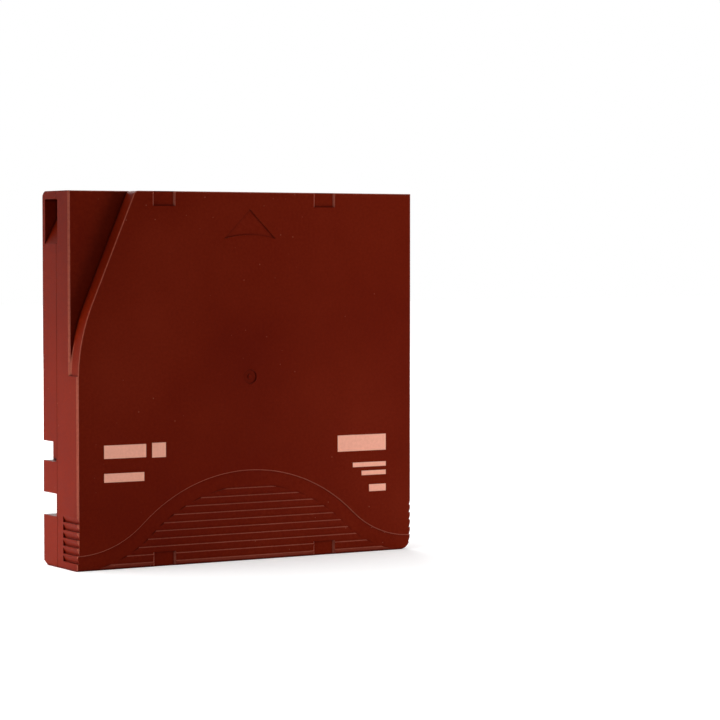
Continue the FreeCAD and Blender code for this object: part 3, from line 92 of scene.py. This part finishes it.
# Painted shade colour for the inner corners.
CASE_SHADE = (0.030, 0.0010, 0.0002)
DUST = (0.230, 0.085, 0.060)
# Lean of the rims over which the painted highlight fades in.
RIM_HIGHLIGHT_BEGINS = 0.20
RIM_HIGHLIGHT_ENDS = 0.65
CREASE_REACH = 0.0008


class Value:
    """Output of a shader node. Arithmetic on it adds Math nodes."""

    def __init__(self, nodes, socket):
        self.nodes = nodes
        self.socket = socket

    def math(self, operation, *others):
        inputs = dict(enumerate((self,) + others))
        return self.nodes.node("ShaderNodeMath", {"operation": operation}, inputs)

    def __add__(self, other):
        return self.math("ADD", other)

    def __sub__(self, other):
        return self.math("SUBTRACT", other)

    def __rsub__(self, other):
        return self * -1 + other

    def __mul__(self, other):
        return self.math("MULTIPLY", other)

    def __truediv__(self, other):
        return self.math("DIVIDE", other)

    def above(self, limit):
        return self.math("GREATER_THAN", limit)

    def below(self, limit):
        return self.math("LESS_THAN", limit)

    def at_least(self, limit):
        return self.math("MAXIMUM", limit)

    def at_most(self, limit):
        return self.math("MINIMUM", limit)

    def size(self):
        return self.math("ABSOLUTE")

    def root(self):
        return self.math("SQRT")

    def fraction(self):
        return self.math("FRACT")


class Nodes:
    """Node tree that makes nodes out of values."""

    def __init__(self, tree):
        self.tree = tree

    def node(self, kind, settings, inputs, output=0):
        """Adds a node: its settings first, then the values or links of its sockets."""
        node = self.tree.nodes.new(kind)
        for name, setting in settings.items():
            if name == "stops":
                self.set_stops(node.color_ramp.elements, setting)
            else:
                setattr(node, name, setting)
        for name, value in inputs.items():
            if isinstance(value, Value):
                self.tree.links.new(value.socket, node.inputs[name])
            else:
                node.inputs[name].default_value = value
        return Value(self, node.outputs[output])

    def set_stops(self, elements, stops):
        elements.remove(elements[1])
        for index, (place, colour) in enumerate(stops):
            element = elements.new(place) if index else elements[0]
            element.position = place
            element.color = (*colour, 1)

    def split(self, vector):
        outputs = self.node("ShaderNodeSeparateXYZ", {}, {0: vector}).socket.node.outputs
        return [Value(self, output) for output in outputs]

    def join(self, x, y, z):
        return self.node("ShaderNodeCombineXYZ", {}, {0: x, 1: y, 2: z})

    def noise(self, vector, scale, detail=2.0, roughness=0.5):
        return self.node(
            "ShaderNodeTexNoise", {},
            {"Vector": vector, "Scale": scale, "Detail": detail, "Roughness": roughness},
        )

    def ramp(self, factor, *stops):
        return self.node("ShaderNodeValToRGB", {"stops": stops}, {0: factor})

    def rise(self, value, low, high):
        """Goes smoothly from 0 to 1 between two values."""
        return self.node(
            "ShaderNodeMapRange", {"interpolation_type": "SMOOTHSTEP"},
            {"Value": value, "From Min": low, "From Max": high},
        )

    def tint(self, factor, low, high):
        """Colour between two colours."""
        low, high = (c if isinstance(c, Value) else (*c, 1) for c in (low, high))
        return self.node("ShaderNodeMix", {"data_type": "RGBA"}, {0: factor, 6: low, 7: high}, 2)


class Finish(Nodes):
    """Material of one finish."""

    def __init__(self, name, **uniform):
        self.material = bpy.data.materials.new(name)
        self.material.use_nodes = True
        super().__init__(self.material.node_tree)
        self.surface = self.tree.nodes["Principled BSDF"]
        for socket, value in uniform.items():
            self.surface.inputs[socket.replace("_", " ")].default_value = value

    def place(self, middle=(0, 0, 0), turn=(0, 0, 0)):
        """Place on the object in metres, seen from a middle and along turned axes."""
        vector = self.node("ShaderNodeTexCoord", {}, {}, "Object")
        if any(middle) or any(turn):
            vector = self.node(
                "ShaderNodeMapping", {"vector_type": "TEXTURE"},
                {"Vector": vector, "Location": middle, "Rotation": turn},
            )
        return vector

    def rims(self, low, high):
        """Mask of the rounded rims between a face across Y and the walls round it."""
        normal = self.node("ShaderNodeNewGeometry", {}, {}, "Normal")
        x, y, z = self.split(normal)
        lean = y.size().at_most((x * x + z * z).root())
        return self.rise(lean, low, high)

    def creases(self, reach):
        """Mask of the inner corners, where the surface shuts itself in."""
        open_sky = self.node(
            "ShaderNodeAmbientOcclusion", {"samples": 8}, {"Distance": reach}, "AO"
        )
        return 1 - open_sky

    def feed(self, **sockets):
        for name, value in sockets.items():
            self.tree.links.new(value.socket, self.surface.inputs[name.replace("_", " ")])

    def relief(self, height, depth, strength=1.0):
        """Bump of a height between 0 and 1 over a depth in metres."""
        self.feed(Normal=self.node(
            "ShaderNodeBump", {}, {"Height": height, "Distance": depth, "Strength": strength}
        ))

    def wear(self, *nodes):
        """Puts the finish on nodes of the frame."""
        for node in nodes:
            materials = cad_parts[node].data.materials
            materials.clear()
            materials.append(self.material)


def case_plastic(name, ink=None):
    """Grained red plastic, with a painted highlight on its rims and painted shade in its inner
    corners. Ink gives the mask of the print.
    """
    finish = Finish(name, Specular_IOR_Level=0.04)
    place = finish.place()
    cloud = finish.noise(place, 24.0, detail=3.0)
    pits = finish.noise(place, 1300.0, detail=3.0, roughness=0.6)
    grain = finish.noise(place, 5200.0, detail=2.0, roughness=0.6)
    colour = finish.ramp(
        cloud * 0.6 + pits * 0.4,
        (0.34, CASE_RED_DEEP), (0.50, CASE_RED), (0.66, CASE_RED_PALE),
    )
    specks = finish.node(
        "ShaderNodeTexVoronoi", {}, {"Vector": place, "Scale": 320.0}, "Distance"
    )
    dust = specks.below(0.06) * finish.rise(finish.noise(place, 60.0), 0.46, 0.60)
    colour = finish.tint(dust * 0.5, colour, DUST)
    # Painted highlight: the rounded rims are painted lighter, patchy like rubbed wear.
    rim_highlight = finish.rims(RIM_HIGHLIGHT_BEGINS, RIM_HIGHLIGHT_ENDS) * (cloud * 0.8 + pits * 0.6).at_most(1.0)
    colour = finish.tint(rim_highlight, colour, CASE_RIM_HIGHLIGHT)
    # Painted shade: inner corners and creases, found by ambient occlusion, are painted darker.
    crease_shade = (finish.creases(CREASE_REACH) * 1.6).at_most(0.8)
    colour = finish.tint(crease_shade, colour, CASE_SHADE)
    roughness = pits * 0.10 + cloud * 0.06 + 0.42 - rim_highlight * 0.12
    if ink:
        mask = ink(finish, place) * (pits * 0.3 + 0.8).at_most(1.0)
        colour = finish.tint(mask, colour, INK)
        roughness = roughness - mask * 0.08
    finish.feed(Base_Color=colour, Roughness=roughness)
    finish.relief(grain * 0.6 + pits * 0.6, depth=0.00003, strength=0.5)
    return finish


case_plastic("case_plastic").wear("lower_shell", "access_door")

# Memory board and chip. A small circuit board stands on edge across the rear left corner, and
# the drive reads its chip by radio. The aerial's turns are etched in copper round the chip,
# under green lacquer on woven glass, and the chip is cast in black epoxy.
LACQUER_GREEN = (0.010, 0.075, 0.030)
LACQUER_PALE = (0.018, 0.110, 0.045)
LACQUER_ON_COPPER = (0.040, 0.170, 0.060)
EPOXY_BLACK = (0.016, 0.016, 0.017)
EPOXY_GREY = (0.034, 0.034, 0.035)
AERIAL_INSIDE = (0.0035, 0.0025)
AERIAL_WIDTH = 0.0024
AERIAL_PITCH = 0.0006
GLASS_YARN = 0.0005

low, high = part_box("memory_board")
board_middle = tuple((a + b) / 2 for a, b in zip(low, high))
board = Finish("board_lacquer", Specular_IOR_Level=0.5)
place = board.place(board_middle, (0, math.radians(45), 0))
across, along, _ = board.split(place)
turns = (across.size() - AERIAL_INSIDE[0]).at_least(along.size() - AERIAL_INSIDE[1])
copper = (turns / AERIAL_PITCH).fraction().below(0.5)
copper = copper * turns.above(0.0) * turns.below(AERIAL_WIDTH)
weave = ((across / GLASS_YARN).fraction() - 0.5).size()
weave = weave + ((along / GLASS_YARN).fraction() - 0.5).size()
flow = board.noise(place, 260.0, detail=3.0)
lacquer = board.tint(flow * 0.5 + weave * 0.2, LACQUER_GREEN, LACQUER_PALE)
board.feed(
    Base_Color=board.tint(copper, lacquer, LACQUER_ON_COPPER),
    Roughness=flow * 0.15 + 0.22,
)
board.relief(copper * 0.7 + weave * 0.3, depth=0.00004, strength=0.6)
board.wear("memory_board")

epoxy = Finish("chip_epoxy", Specular_IOR_Level=0.4)
sand = epoxy.noise(epoxy.place(), 4200.0, detail=3.0, roughness=0.7)
epoxy.feed(Base_Color=epoxy.tint(sand, EPOXY_BLACK, EPOXY_GREY), Roughness=sand * 0.2 + 0.42)
epoxy.relief(sand, depth=0.00002, strength=0.6)
epoxy.wear("memory_chip")

# Reel. The hub, its drive teeth, its brake teeth and the lower flange are one moulding in
# natural white polycarbonate with glass fibres, gated at the middle, so that the fibres lie
# outwards. The upper flange is the same plastic, welded on.
REEL_WHITE = (0.66, 0.66, 0.61)
REEL_FIBRE = (0.78, 0.78, 0.73)
REEL_SHADE = (0.54, 0.54, 0.49)
REEL_AXIS = (0, 0, cad_box[1][2] / 2)


def round_axis(finish):
    """Distance from the reel's axis, turn round it, and place along it."""
    x, y, z = finish.split(finish.place(REEL_AXIS))
    return (x * x + z * z).root(), z.math("ARCTAN2", x), y


reel_plastic = Finish("reel_plastic", Specular_IOR_Level=0.45)
radius, turn, height = round_axis(reel_plastic)
fibres = reel_plastic.noise(
    reel_plastic.join(turn * 1.6, radius * 60.0, height * 60.0), 24.0, detail=5.0, roughness=0.7
)
clouds = reel_plastic.noise(reel_plastic.place(), 70.0, detail=3.0)
colour = reel_plastic.ramp(
    fibres * 0.6 + clouds * 0.4, (0.32, REEL_SHADE), (0.5, REEL_WHITE), (0.7, REEL_FIBRE)
)
reel_plastic.feed(Base_Color=colour, Roughness=fibres * 0.18 + 0.30)
reel_plastic.relief(fibres, depth=0.00002, strength=0.5)
reel_plastic.wear("reel_hub", "reel_upper_flange")

# Tape pack and leader tape. Near a thousand metres of tape, wound so tightly that the edges of
# its turns make one dark satin face with faint rings. Its free end is the leader, a strip of
# brown polyester with a black coating that runs along the front to the pin.
TAPE_EDGE = (0.014, 0.010, 0.009)
TAPE_RING = (0.040, 0.030, 0.026)
COATING = (0.010, 0.008, 0.007)
POLYESTER = (0.034, 0.020, 0.014)

tape_edges = Finish("tape_edges", Specular_IOR_Level=0.5)
radius, turn, _ = round_axis(tape_edges)
rings = tape_edges.noise(tape_edges.join(radius, 0.0, 0.0), 2600.0, detail=5.0, roughness=0.7)
scatter = tape_edges.noise(tape_edges.join(radius * 90.0, turn * 0.4, 0.0), 3.0, detail=3.0)
tape_edges.feed(
    Base_Color=tape_edges.tint(rings * 0.7 + scatter * 0.3, TAPE_EDGE, TAPE_RING),
    Roughness=scatter * 0.2 + 0.24,
)
tape_edges.relief(rings, depth=0.00003, strength=0.7)
tape_edges.wear("tape_pack")

coated_film = Finish("coated_film", Specular_IOR_Level=0.5)
x, y, z = coated_film.split(coated_film.place())
streaks = coated_film.noise(coated_film.join(x * 0.04, y, z), 2400.0, detail=3.0)
coated_film.feed(
    Base_Color=coated_film.tint(streaks, COATING, POLYESTER), Roughness=streaks * 0.14 + 0.20
)
coated_film.relief(streaks, depth=0.000004, strength=0.5)
coated_film.wear("leader_tape")

# Clutch plate and its rivets. A ring stamped from magnetic stainless steel and faced on a
# lathe, which the spindle's magnet pulls on. Three plastic studs of the hub pass through it,
# and their ends are staked flat, with the dimple of the staking tool.
CLUTCH_STEEL = (0.30, 0.29, 0.28)
CLUTCH_SHINE = (0.44, 0.43, 0.41)
RIVET_CIRCLE = 0.0086
RIVET_HEAD = 0.0016
RIVET_SHANK = 0.00105
RIVET_HEIGHT = 0.00034
RIVET_ROUNDING = 0.00022
RIVET_LAND = 0.00045
RIVET_DEPTH = 0.0006
RIVET_DIMPLE = 0.00012
RIVET_DIMPLE_SLOPE = 0.00020
RIVET_ANGLES = (60, 180, 300)

clutch_steel = Finish("clutch_steel", Metallic=1.0)
radius, _, _ = round_axis(clutch_steel)
lathe = clutch_steel.noise(clutch_steel.join(radius, 0.0, 0.0), 6500.0, detail=4.0, roughness=0.7)
handling = clutch_steel.noise(clutch_steel.place(), 180.0, detail=3.0)
clutch_steel.feed(
    Base_Color=clutch_steel.tint(lathe * 0.6 + handling * 0.4, CLUTCH_STEEL, CLUTCH_SHINE),
    Roughness=handling * 0.16 + lathe * 0.12 + 0.20,
)
clutch_steel.relief(lathe, depth=0.000012, strength=0.7)
clutch_steel.wear("clutch_plate")


def choose(*pieces):
    """Selects pieces and nothing else, with the first one active."""
    bpy.ops.object.select_all(action="DESELECT")
    for piece in pieces:
        piece.select_set(True)
    bpy.context.view_layer.objects.active = pieces[0]


def settle(piece):
    """Brings a piece's object back to the origin and leaves its mesh in place."""
    choose(piece)
    bpy.ops.object.transform_apply(location=True, rotation=True, scale=True)


def start(name, primitive, **settings):
    """Adds a primitive with nothing else selected, with its place in its mesh."""
    bpy.ops.object.select_all(action="DESELECT")
    primitive(**settings)
    piece = bpy.context.object
    piece.name = name
    settle(piece)
    return piece


def pick(piece, kind, chosen):
    """Opens a piece in edit mode with the chosen faces or edges selected."""
    bpy.context.view_layer.objects.active = piece
    bpy.ops.object.mode_set(mode="EDIT")
    bpy.ops.mesh.select_mode(type=kind)
    bpy.ops.mesh.select_all(action="DESELECT")
    mesh = bmesh.from_edit_mesh(piece.data)
    for item in mesh.faces if kind == "FACE" else mesh.edges:
        item.select_set(chosen(item))
    mesh.select_flush_mode()
    bmesh.update_edit_mesh(piece.data)


def close_edit():
    """Goes back to object mode, which writes the mesh."""
    bpy.ops.object.mode_set(mode="OBJECT")


def flat_at(height):
    """Chooses what lies in one plane across Z."""
    return lambda item: all(abs(vertex.co.z - height) < 1e-6 for vertex in item.verts)


def copy_to(piece, name, place):
    """Copies a piece with its own mesh to a place."""
    choose(piece)
    bpy.ops.object.duplicate(linked=False)
    copy = bpy.context.object
    copy.name = name
    copy.location = place
    settle(copy)
    return copy


def join_pieces(name, pieces):
    """Makes one piece of several."""
    choose(*pieces)
    bpy.ops.object.join()
    joined = bpy.context.object
    joined.name = name
    return joined


def smooth(piece, angle=35):
    """Shades a piece smooth, but for its sharp edges."""
    choose(piece)
    bpy.ops.object.shade_smooth_by_angle(angle=math.radians(angle))


clutch_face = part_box("clutch_plate")[1][1]
rivet = start(
    "rivet", bpy.ops.mesh.primitive_cylinder_add, vertices=36, radius=RIVET_HEAD,
    depth=RIVET_HEIGHT, location=(0, 0, RIVET_HEIGHT / 2),
)
pick(rivet, "EDGE", flat_at(RIVET_HEIGHT))
bpy.ops.mesh.bevel(offset=RIVET_ROUNDING, segments=4, affect="EDGES")
pick(rivet, "FACE", flat_at(RIVET_HEIGHT))
bpy.ops.mesh.inset(thickness=RIVET_LAND)
bpy.ops.mesh.inset(thickness=RIVET_DIMPLE_SLOPE, depth=-RIVET_DIMPLE)
pick(rivet, "FACE", flat_at(0))
bpy.ops.mesh.inset(thickness=RIVET_HEAD - RIVET_SHANK)
bpy.ops.mesh.extrude_region_move(TRANSFORM_OT_translate={"value": (0, 0, -RIVET_DEPTH)})
close_edit()
rivet.rotation_euler = (math.radians(-90), 0, 0)
settle(rivet)
rivets = []
for number, angle in enumerate(RIVET_ANGLES, 1):
    place = (
        RIVET_CIRCLE * math.cos(math.radians(angle)), clutch_face,
        REEL_AXIS[2] + RIVET_CIRCLE * math.sin(math.radians(angle)),
    )
    rivets.append(copy_to(rivet, f"rivet_{number}", place))
bpy.data.objects.remove(rivet)
clutch_rivets = join_pieces("clutch_rivets", rivets)
smooth(clutch_rivets)
clutch_rivets.data.materials.append(reel_plastic.material)
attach(clutch_rivets, "reel")

# Reel brake. A toothed disc of white acetal slides on the post under the upper shell, and a
# three-legged spider of dark grey acetal below it is pushed up by the drive to lift it. Both
# are waxy injection mouldings with a faint orange-peel skin.
ACETAL_WHITE = (0.80, 0.80, 0.75)
ACETAL_SHADE = (0.68, 0.68, 0.62)
ACETAL_GREY = (0.050, 0.052, 0.056)
ACETAL_DEEP = (0.032, 0.033, 0.036)


def waxy_plastic(name, deep, pale, roughness=0.34):
    """Smooth moulded plastic with a mottled skin."""
    finish = Finish(name, Specular_IOR_Level=0.45)
    place = finish.place()
    mottle = finish.noise(place, 150.0, detail=3.0)
    skin = finish.noise(place, 1800.0, detail=2.0)
    finish.feed(
        Base_Color=finish.tint(mottle * 0.7 + skin * 0.3, deep, pale),
        Roughness=mottle * 0.12 + skin * 0.08 + roughness - 0.08,
    )
    finish.relief(skin * 0.7 + mottle * 0.3, depth=0.00002, strength=0.5)
    return finish


waxy_plastic("white_acetal", ACETAL_SHADE, ACETAL_WHITE).wear("brake_plate")
waxy_plastic("grey_acetal", ACETAL_DEEP, ACETAL_GREY).wear("release_spider")

# Brake spring and door spring. Both are coiled from round steel wire, drawn bright and lightly
# oiled. One presses the brake plate on the hub from the ceiling of the upper shell, and the
# long one lies along the right wall and pushes the door shut.
WIRE_BRIGHT = (0.60, 0.60, 0.59)
WIRE_OILED = (0.36, 0.35, 0.33)
BRAKE_COIL = {"wire": 0.0007, "radius": 0.0076, "turns": 4, "steps": 40}
DOOR_COIL = {"wire": 0.0004, "radius": 0.00075, "turns": 18, "steps": 16}

spring_wire = Finish("spring_wire", Metallic=1.0)
oil = spring_wire.noise(spring_wire.place(), 420.0, detail=4.0, roughness=0.6)
die_lines = spring_wire.noise(spring_wire.place(), 5200.0, detail=2.0)
spring_wire.feed(
    Base_Color=spring_wire.tint(spring_wire.rise(oil, 0.38, 0.62), WIRE_BRIGHT, WIRE_OILED),
    Roughness=oil * 0.24 + 0.18,
)
spring_wire.relief(die_lines, depth=0.000008, strength=0.6)


def wind(piece, pitch, turns, steps, sides):
    """Winds an outline up along Z and closes the ends, of at most so many sides."""
    helix = piece.modifiers.new("helix", "SCREW")
    helix.axis = "Z"
    helix.screw_offset = pitch
    helix.iterations = turns
    helix.steps = helix.render_steps = steps
    bpy.ops.object.modifier_apply(modifier=helix.name)
    pick(piece, "EDGE", lambda edge: edge.is_boundary)
    bpy.ops.mesh.fill_holes(sides=sides)
    bpy.ops.mesh.select_all(action="SELECT")
    bpy.ops.mesh.normals_make_consistent(inside=False)
    close_edit()


def coiled_spring(name, length, wire, radius, turns, steps):
    """Right-hand helix of round wire that rises from the origin along Z."""
    pitch = (length - wire) / turns
    lead = math.atan2(pitch, 2 * math.pi * radius)
    spring = start(
        name, bpy.ops.mesh.primitive_circle_add, vertices=10, radius=wire / 2,
        location=(radius, 0, wire / 2), rotation=(lead - math.radians(90), 0, 0),
    )
    wind(spring, pitch, turns, steps, sides=12)
    return spring


low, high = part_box("brake_spring")
brake_coil = coiled_spring("brake_coil", high[1] - low[1], **BRAKE_COIL)
brake_coil.rotation_euler = (math.radians(-90), 0, 0)
brake_coil.location = (0, low[1], REEL_AXIS[2])
settle(brake_coil)
smooth(brake_coil, 60)
brake_coil.data.materials.append(spring_wire.material)
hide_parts("brake_spring")
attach(brake_coil, "case")
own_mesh(brake_coil)

low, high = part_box("door_spring")
door_coil = coiled_spring("door_coil", high[2] - low[2], **DOOR_COIL)
door_coil.location = ((low[0] + high[0]) / 2, (low[1] + high[1]) / 2, low[2])
settle(door_coil)
smooth(door_coil, 60)
door_coil.data.materials.append(spring_wire.material)
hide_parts("door_spring")
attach(door_coil, "case")
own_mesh(door_coil)

# Write-protect switch. A small slider in the rear end, moulded in a brighter orange red so
# that its position can be seen. Fingernails polish it.
SWITCH_RED = (0.56, 0.075, 0.022)
SWITCH_DEEP = (0.44, 0.050, 0.014)
waxy_plastic("switch_plastic", SWITCH_DEEP, SWITCH_RED, 0.40).wear("write_protect_switch")

# Leader pin, its clip and its leaf spring. The pin is turned from stainless steel bar, the
# clip that holds the leader in the pin's groove is black acetal, and the leaf spring that
# holds the pin's ends in the case is stamped from thin rolled strip.
PIN_STEEL = (0.58, 0.58, 0.57)
PIN_SHINE = (0.72, 0.72, 0.70)
CLIP_BLACK = (0.012, 0.012, 0.013)
CLIP_GREY = (0.026, 0.026, 0.027)


def worked_steel(name, stretch, depth):
    """Stainless steel with the marks of its working, drawn out along some axes."""
    finish = Finish(name, Metallic=1.0)
    x, y, z = finish.split(finish.place())
    marks = finish.noise(
        finish.join(x * stretch[0], y * stretch[1], z * stretch[2]), 5200.0,
        detail=4.0, roughness=0.7,
    )
    handling = finish.noise(finish.place(), 240.0, detail=3.0)
    finish.feed(
        Base_Color=finish.tint(marks * 0.6 + handling * 0.4, PIN_STEEL, PIN_SHINE),
        Roughness=handling * 0.14 + marks * 0.10 + 0.16,
    )
    finish.relief(marks, depth, strength=0.6)
    return finish


worked_steel("turned_steel", (0.05, 1.0, 0.05), 0.000010).wear("leader_pin")
worked_steel("rolled_strip", (1.0, 0.04, 1.0), 0.000006).wear("pin_spring")
waxy_plastic("black_acetal", CLIP_BLACK, CLIP_GREY, 0.36).wear("pin_clip")

# Upper shell. The half of the case with the guide step and the grip field, moulded like the
# lower one. The makers' text and marks are left off its face: plain bars of the same pale
# pad-printed ink stand in their places.
INK = (0.720, 0.335, 0.245)
INK_FADE = 0.00003
INK_REACH = 0.0001
FACE = cad_box[0][1] + INK_REACH
BARS = [
    {"left": -0.0448, "right": -0.0322, "low": 0.0300, "high": 0.0336},
    {"left": -0.0304, "right": -0.0262, "low": 0.0298, "high": 0.0338},
    {"left": -0.0448, "right": -0.0328, "low": 0.0236, "high": 0.0260},
    {"left": 0.0282, "right": 0.0442, "low": 0.0290, "high": 0.0336},
    {"left": 0.0332, "right": 0.0442, "low": 0.0244, "high": 0.0257},
    {"left": 0.0361, "right": 0.0442, "low": 0.0220, "high": 0.0233},
    {"left": 0.0386, "right": 0.0442, "low": 0.0173, "high": 0.0193},
]


def within(finish, value, low, high):
    """Mask between two limits, with a soft edge."""
    half = (high - low) / 2
    return finish.rise((value - (low + half)).size(), half + INK_FADE, half - INK_FADE)


def printed_bars(finish, place):
    """Mask of the ink on the face."""
    x, y, z = finish.split(place)
    masks = [
        within(finish, x, bar["left"], bar["right"]) * within(finish, z, bar["low"], bar["high"])
        for bar in BARS
    ]
    ink = masks[0]
    for mask in masks[1:]:
        ink = ink.at_least(mask)
    return ink * y.below(FACE)


case_plastic("printed_case_plastic", printed_bars).wear("upper_shell")

# Case screws. Four thread-forming screws with cross-recessed pan heads, driven from the bottom
# face into the upper shell's bosses. They are zinc plated, with a milky passivated film.
SCREW_PLACES = [(-0.0476, 0.0104), (0.0455, 0.0075), (-0.0435, 0.0955), (0.0463, 0.0973)]
SCREW_HEAD = 0.0019
SCREW_HEAD_HEIGHT = 0.0012
SCREW_HEAD_ROUNDING = 0.00045
SCREW_CORE = 0.00078
SCREW_TIP = 0.0009
SCREW_TIP_TAPER = 0.25
RECESS_LENGTH = 0.0026
RECESS_WIDTH = 0.0006
RECESS_DEPTH = 0.0006
RECESS_TAPER = 0.5
THREAD_PITCH = 0.0009
THREAD_TURNS = 10
THREAD_STEPS = 24
THREAD_TOOTH = 0.0003
THREAD_MIDDLE = 0.00069
ZINC = (0.56, 0.57, 0.57)
ZINC_MILKY = (0.70, 0.71, 0.70)

zinc = Finish("zinc_plate", Metallic=1.0)
film = zinc.noise(zinc.place(), 700.0, detail=4.0, roughness=0.6)
crystals = zinc.noise(zinc.place(), 6500.0, detail=2.0)
zinc.feed(
    Base_Color=zinc.tint(film, ZINC, ZINC_MILKY), Roughness=film * 0.22 + crystals * 0.08 + 0.22
)
zinc.relief(crystals, depth=0.000010, strength=0.5)

low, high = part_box("case_screws")
screw_length = high[1] - low[1]
screw = start(
    "screw", bpy.ops.mesh.primitive_cylinder_add, vertices=40, radius=SCREW_HEAD,
    depth=SCREW_HEAD_HEIGHT, location=(0, 0, -SCREW_HEAD_HEIGHT / 2),
)
pick(screw, "EDGE", flat_at(0))
bpy.ops.mesh.bevel(offset=SCREW_HEAD_ROUNDING, segments=5, affect="EDGES")
pick(screw, "FACE", flat_at(-SCREW_HEAD_HEIGHT))
bpy.ops.mesh.inset(thickness=SCREW_HEAD - SCREW_CORE)
straight = screw_length - SCREW_HEAD_HEIGHT - SCREW_TIP
bpy.ops.mesh.extrude_region_move(TRANSFORM_OT_translate={"value": (0, 0, -straight)})
bpy.ops.mesh.extrude_region_move(TRANSFORM_OT_translate={"value": (0, 0, -SCREW_TIP)})
bpy.ops.transform.resize(
    value=(SCREW_TIP_TAPER, SCREW_TIP_TAPER, 1), center_override=(0, 0, -screw_length)
)
close_edit()
for turned in (0, 90):
    cutter = start(
        "cutter", bpy.ops.mesh.primitive_cube_add, size=1,
        scale=(RECESS_LENGTH, RECESS_WIDTH, 2 * RECESS_DEPTH),
        rotation=(0, 0, math.radians(turned)),
    )
    pick(cutter, "FACE", flat_at(-RECESS_DEPTH))
    bpy.ops.transform.resize(
        value=(RECESS_TAPER, RECESS_TAPER, 1), center_override=(0, 0, -RECESS_DEPTH)
    )
    close_edit()
    recess = screw.modifiers.new("recess", "BOOLEAN")
    recess.object = cutter
    recess.operation = "DIFFERENCE"
    bpy.context.view_layer.objects.active = screw
    bpy.ops.object.modifier_apply(modifier=recess.name)
    bpy.data.objects.remove(cutter)
thread = start(
    "thread", bpy.ops.mesh.primitive_circle_add, vertices=3, radius=THREAD_TOOTH,
    location=(THREAD_MIDDLE, 0, -screw_length + SCREW_TIP / 2),
    rotation=(math.radians(90), math.radians(90), 0),
)
wind(thread, THREAD_PITCH, THREAD_TURNS, THREAD_STEPS, sides=4)
screw = join_pieces("screw", [screw, thread])
screw.rotation_euler = (math.radians(-90), 0, 0)
settle(screw)
screws = [
    copy_to(screw, f"screw_{number}", (x, high[1], z))
    for number, (x, z) in enumerate(SCREW_PLACES, 1)
]
bpy.data.objects.remove(screw)
threaded_screws = join_pieces("threaded_screws", screws)
smooth(threaded_screws)
threaded_screws.data.materials.append(zinc.material)
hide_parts("case_screws")
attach(threaded_screws, "case")

# Room. A pale matt floor that keeps the cartridge's shadow, with a white backdrop behind and a
# dim room in front. One large lamp hangs overhead and another behind, and small weak ones stand
# to the left and, low down, beside and in front of the cartridge.
FLOOR_SIZE = 6.0
FLOOR_WHITE = (0.86, 0.86, 0.86)
FLOOR_PALE = (0.80, 0.80, 0.80)
FLOOR_NEAR = (0.40, 0.40, 0.40)
FLOOR_FAR = (0.95, 0.95, 0.95)
GLOW_BEGINS = 0.10
GLOW_ENDS = 0.70
DIM_ROOM = 0.20

floor = start("floor", bpy.ops.mesh.primitive_plane_add, size=FLOOR_SIZE)
pick(floor, "FACE", flat_at(0))
bpy.ops.mesh.subdivide(number_cuts=8)
close_edit()
matt_floor = Finish("matt_floor", Specular_IOR_Level=0.0, Emission_Strength=1.0)
x, y, _ = matt_floor.split(matt_floor.place())
away = matt_floor.rise((x * x + y * y).root(), GLOW_BEGINS, GLOW_ENDS)
fleck = matt_floor.noise(matt_floor.place(), 900.0, detail=3.0)
light_path = matt_floor.node("ShaderNodeLightPath", {}, {}).socket.node.outputs
seen = Value(matt_floor, light_path["Is Camera Ray"])
seen = seen + Value(matt_floor, light_path["Is Glossy Ray"])
seen = (seen + Value(matt_floor, light_path["Is Transmission Ray"])).at_most(1.0)
glow = matt_floor.tint(away, FLOOR_NEAR, FLOOR_FAR)
matt_floor.feed(
    Base_Color=matt_floor.tint(fleck, FLOOR_WHITE, FLOOR_PALE),
    Roughness=fleck * 0.1 + 0.85,
    Emission_Color=matt_floor.tint(seen, (0, 0, 0), glow),
)
floor.data.materials.append(matt_floor.material)

world = bpy.data.worlds.new("room")
world.use_nodes = True
bpy.context.scene.world = world
room = Nodes(world.node_tree)
direction = room.node("ShaderNodeTexCoord", {}, {}, "Generated")
behind = room.rise(room.split(direction)[1], -0.25, 0.35)
light_path = room.node("ShaderNodeLightPath", {}, {}).socket.node.outputs
mirrored = Value(room, light_path["Is Glossy Ray"])
mirrored = mirrored + Value(room, light_path["Is Transmission Ray"])
seen = Value(room, light_path["Is Camera Ray"]) + mirrored * behind
background = room.tree.nodes["Background"]
background.inputs["Color"].default_value = (1, 1, 1, 1)
room.tree.links.new(
    seen.at_least(DIM_ROOM).at_most(1.0).socket, background.inputs["Strength"]
)


def lamp(name, place, size, power, target=REEL_AXIS, mirrored=True):
    """Adds a rectangular lamp that faces its target and isn't seen itself."""
    data = bpy.data.lights.new(name, "AREA")
    data.shape = "RECTANGLE"
    data.size, data.size_y = size
    data.energy = power
    light = bpy.data.objects.new(name, data)
    light.location = place
    light.rotation_euler = (Vector(target) - Vector(place)).to_track_quat("-Z", "Y").to_euler()
    light.visible_camera = False
    light.visible_glossy = mirrored
    bpy.context.scene.collection.objects.link(light)


lamp("overhead_lamp", place=(-0.05, 0.15, 0.95), size=(0.9, 0.7), power=6.5)
lamp("side_lamp", place=(-0.50, -0.09, 0.14), size=(0.2, 0.2), power=0.55)
lamp(
    "left_lamp", place=(-0.14, 0.03, 0.012), size=(0.10, 0.02), power=0.17,
    target=(0, 0.03, 0.012), mirrored=False,
)
lamp(
    "front_lamp", place=(0.20, -0.22, 0.02), size=(0.2, 0.03), power=0.60,
    target=(0, 0, 0.02), mirrored=False,
)
lamp("back_lamp", place=(0.3, 1.2, 0.6), size=(0.8, 0.6), power=8.0)

bpy.context.scene.view_settings.view_transform = "Standard"
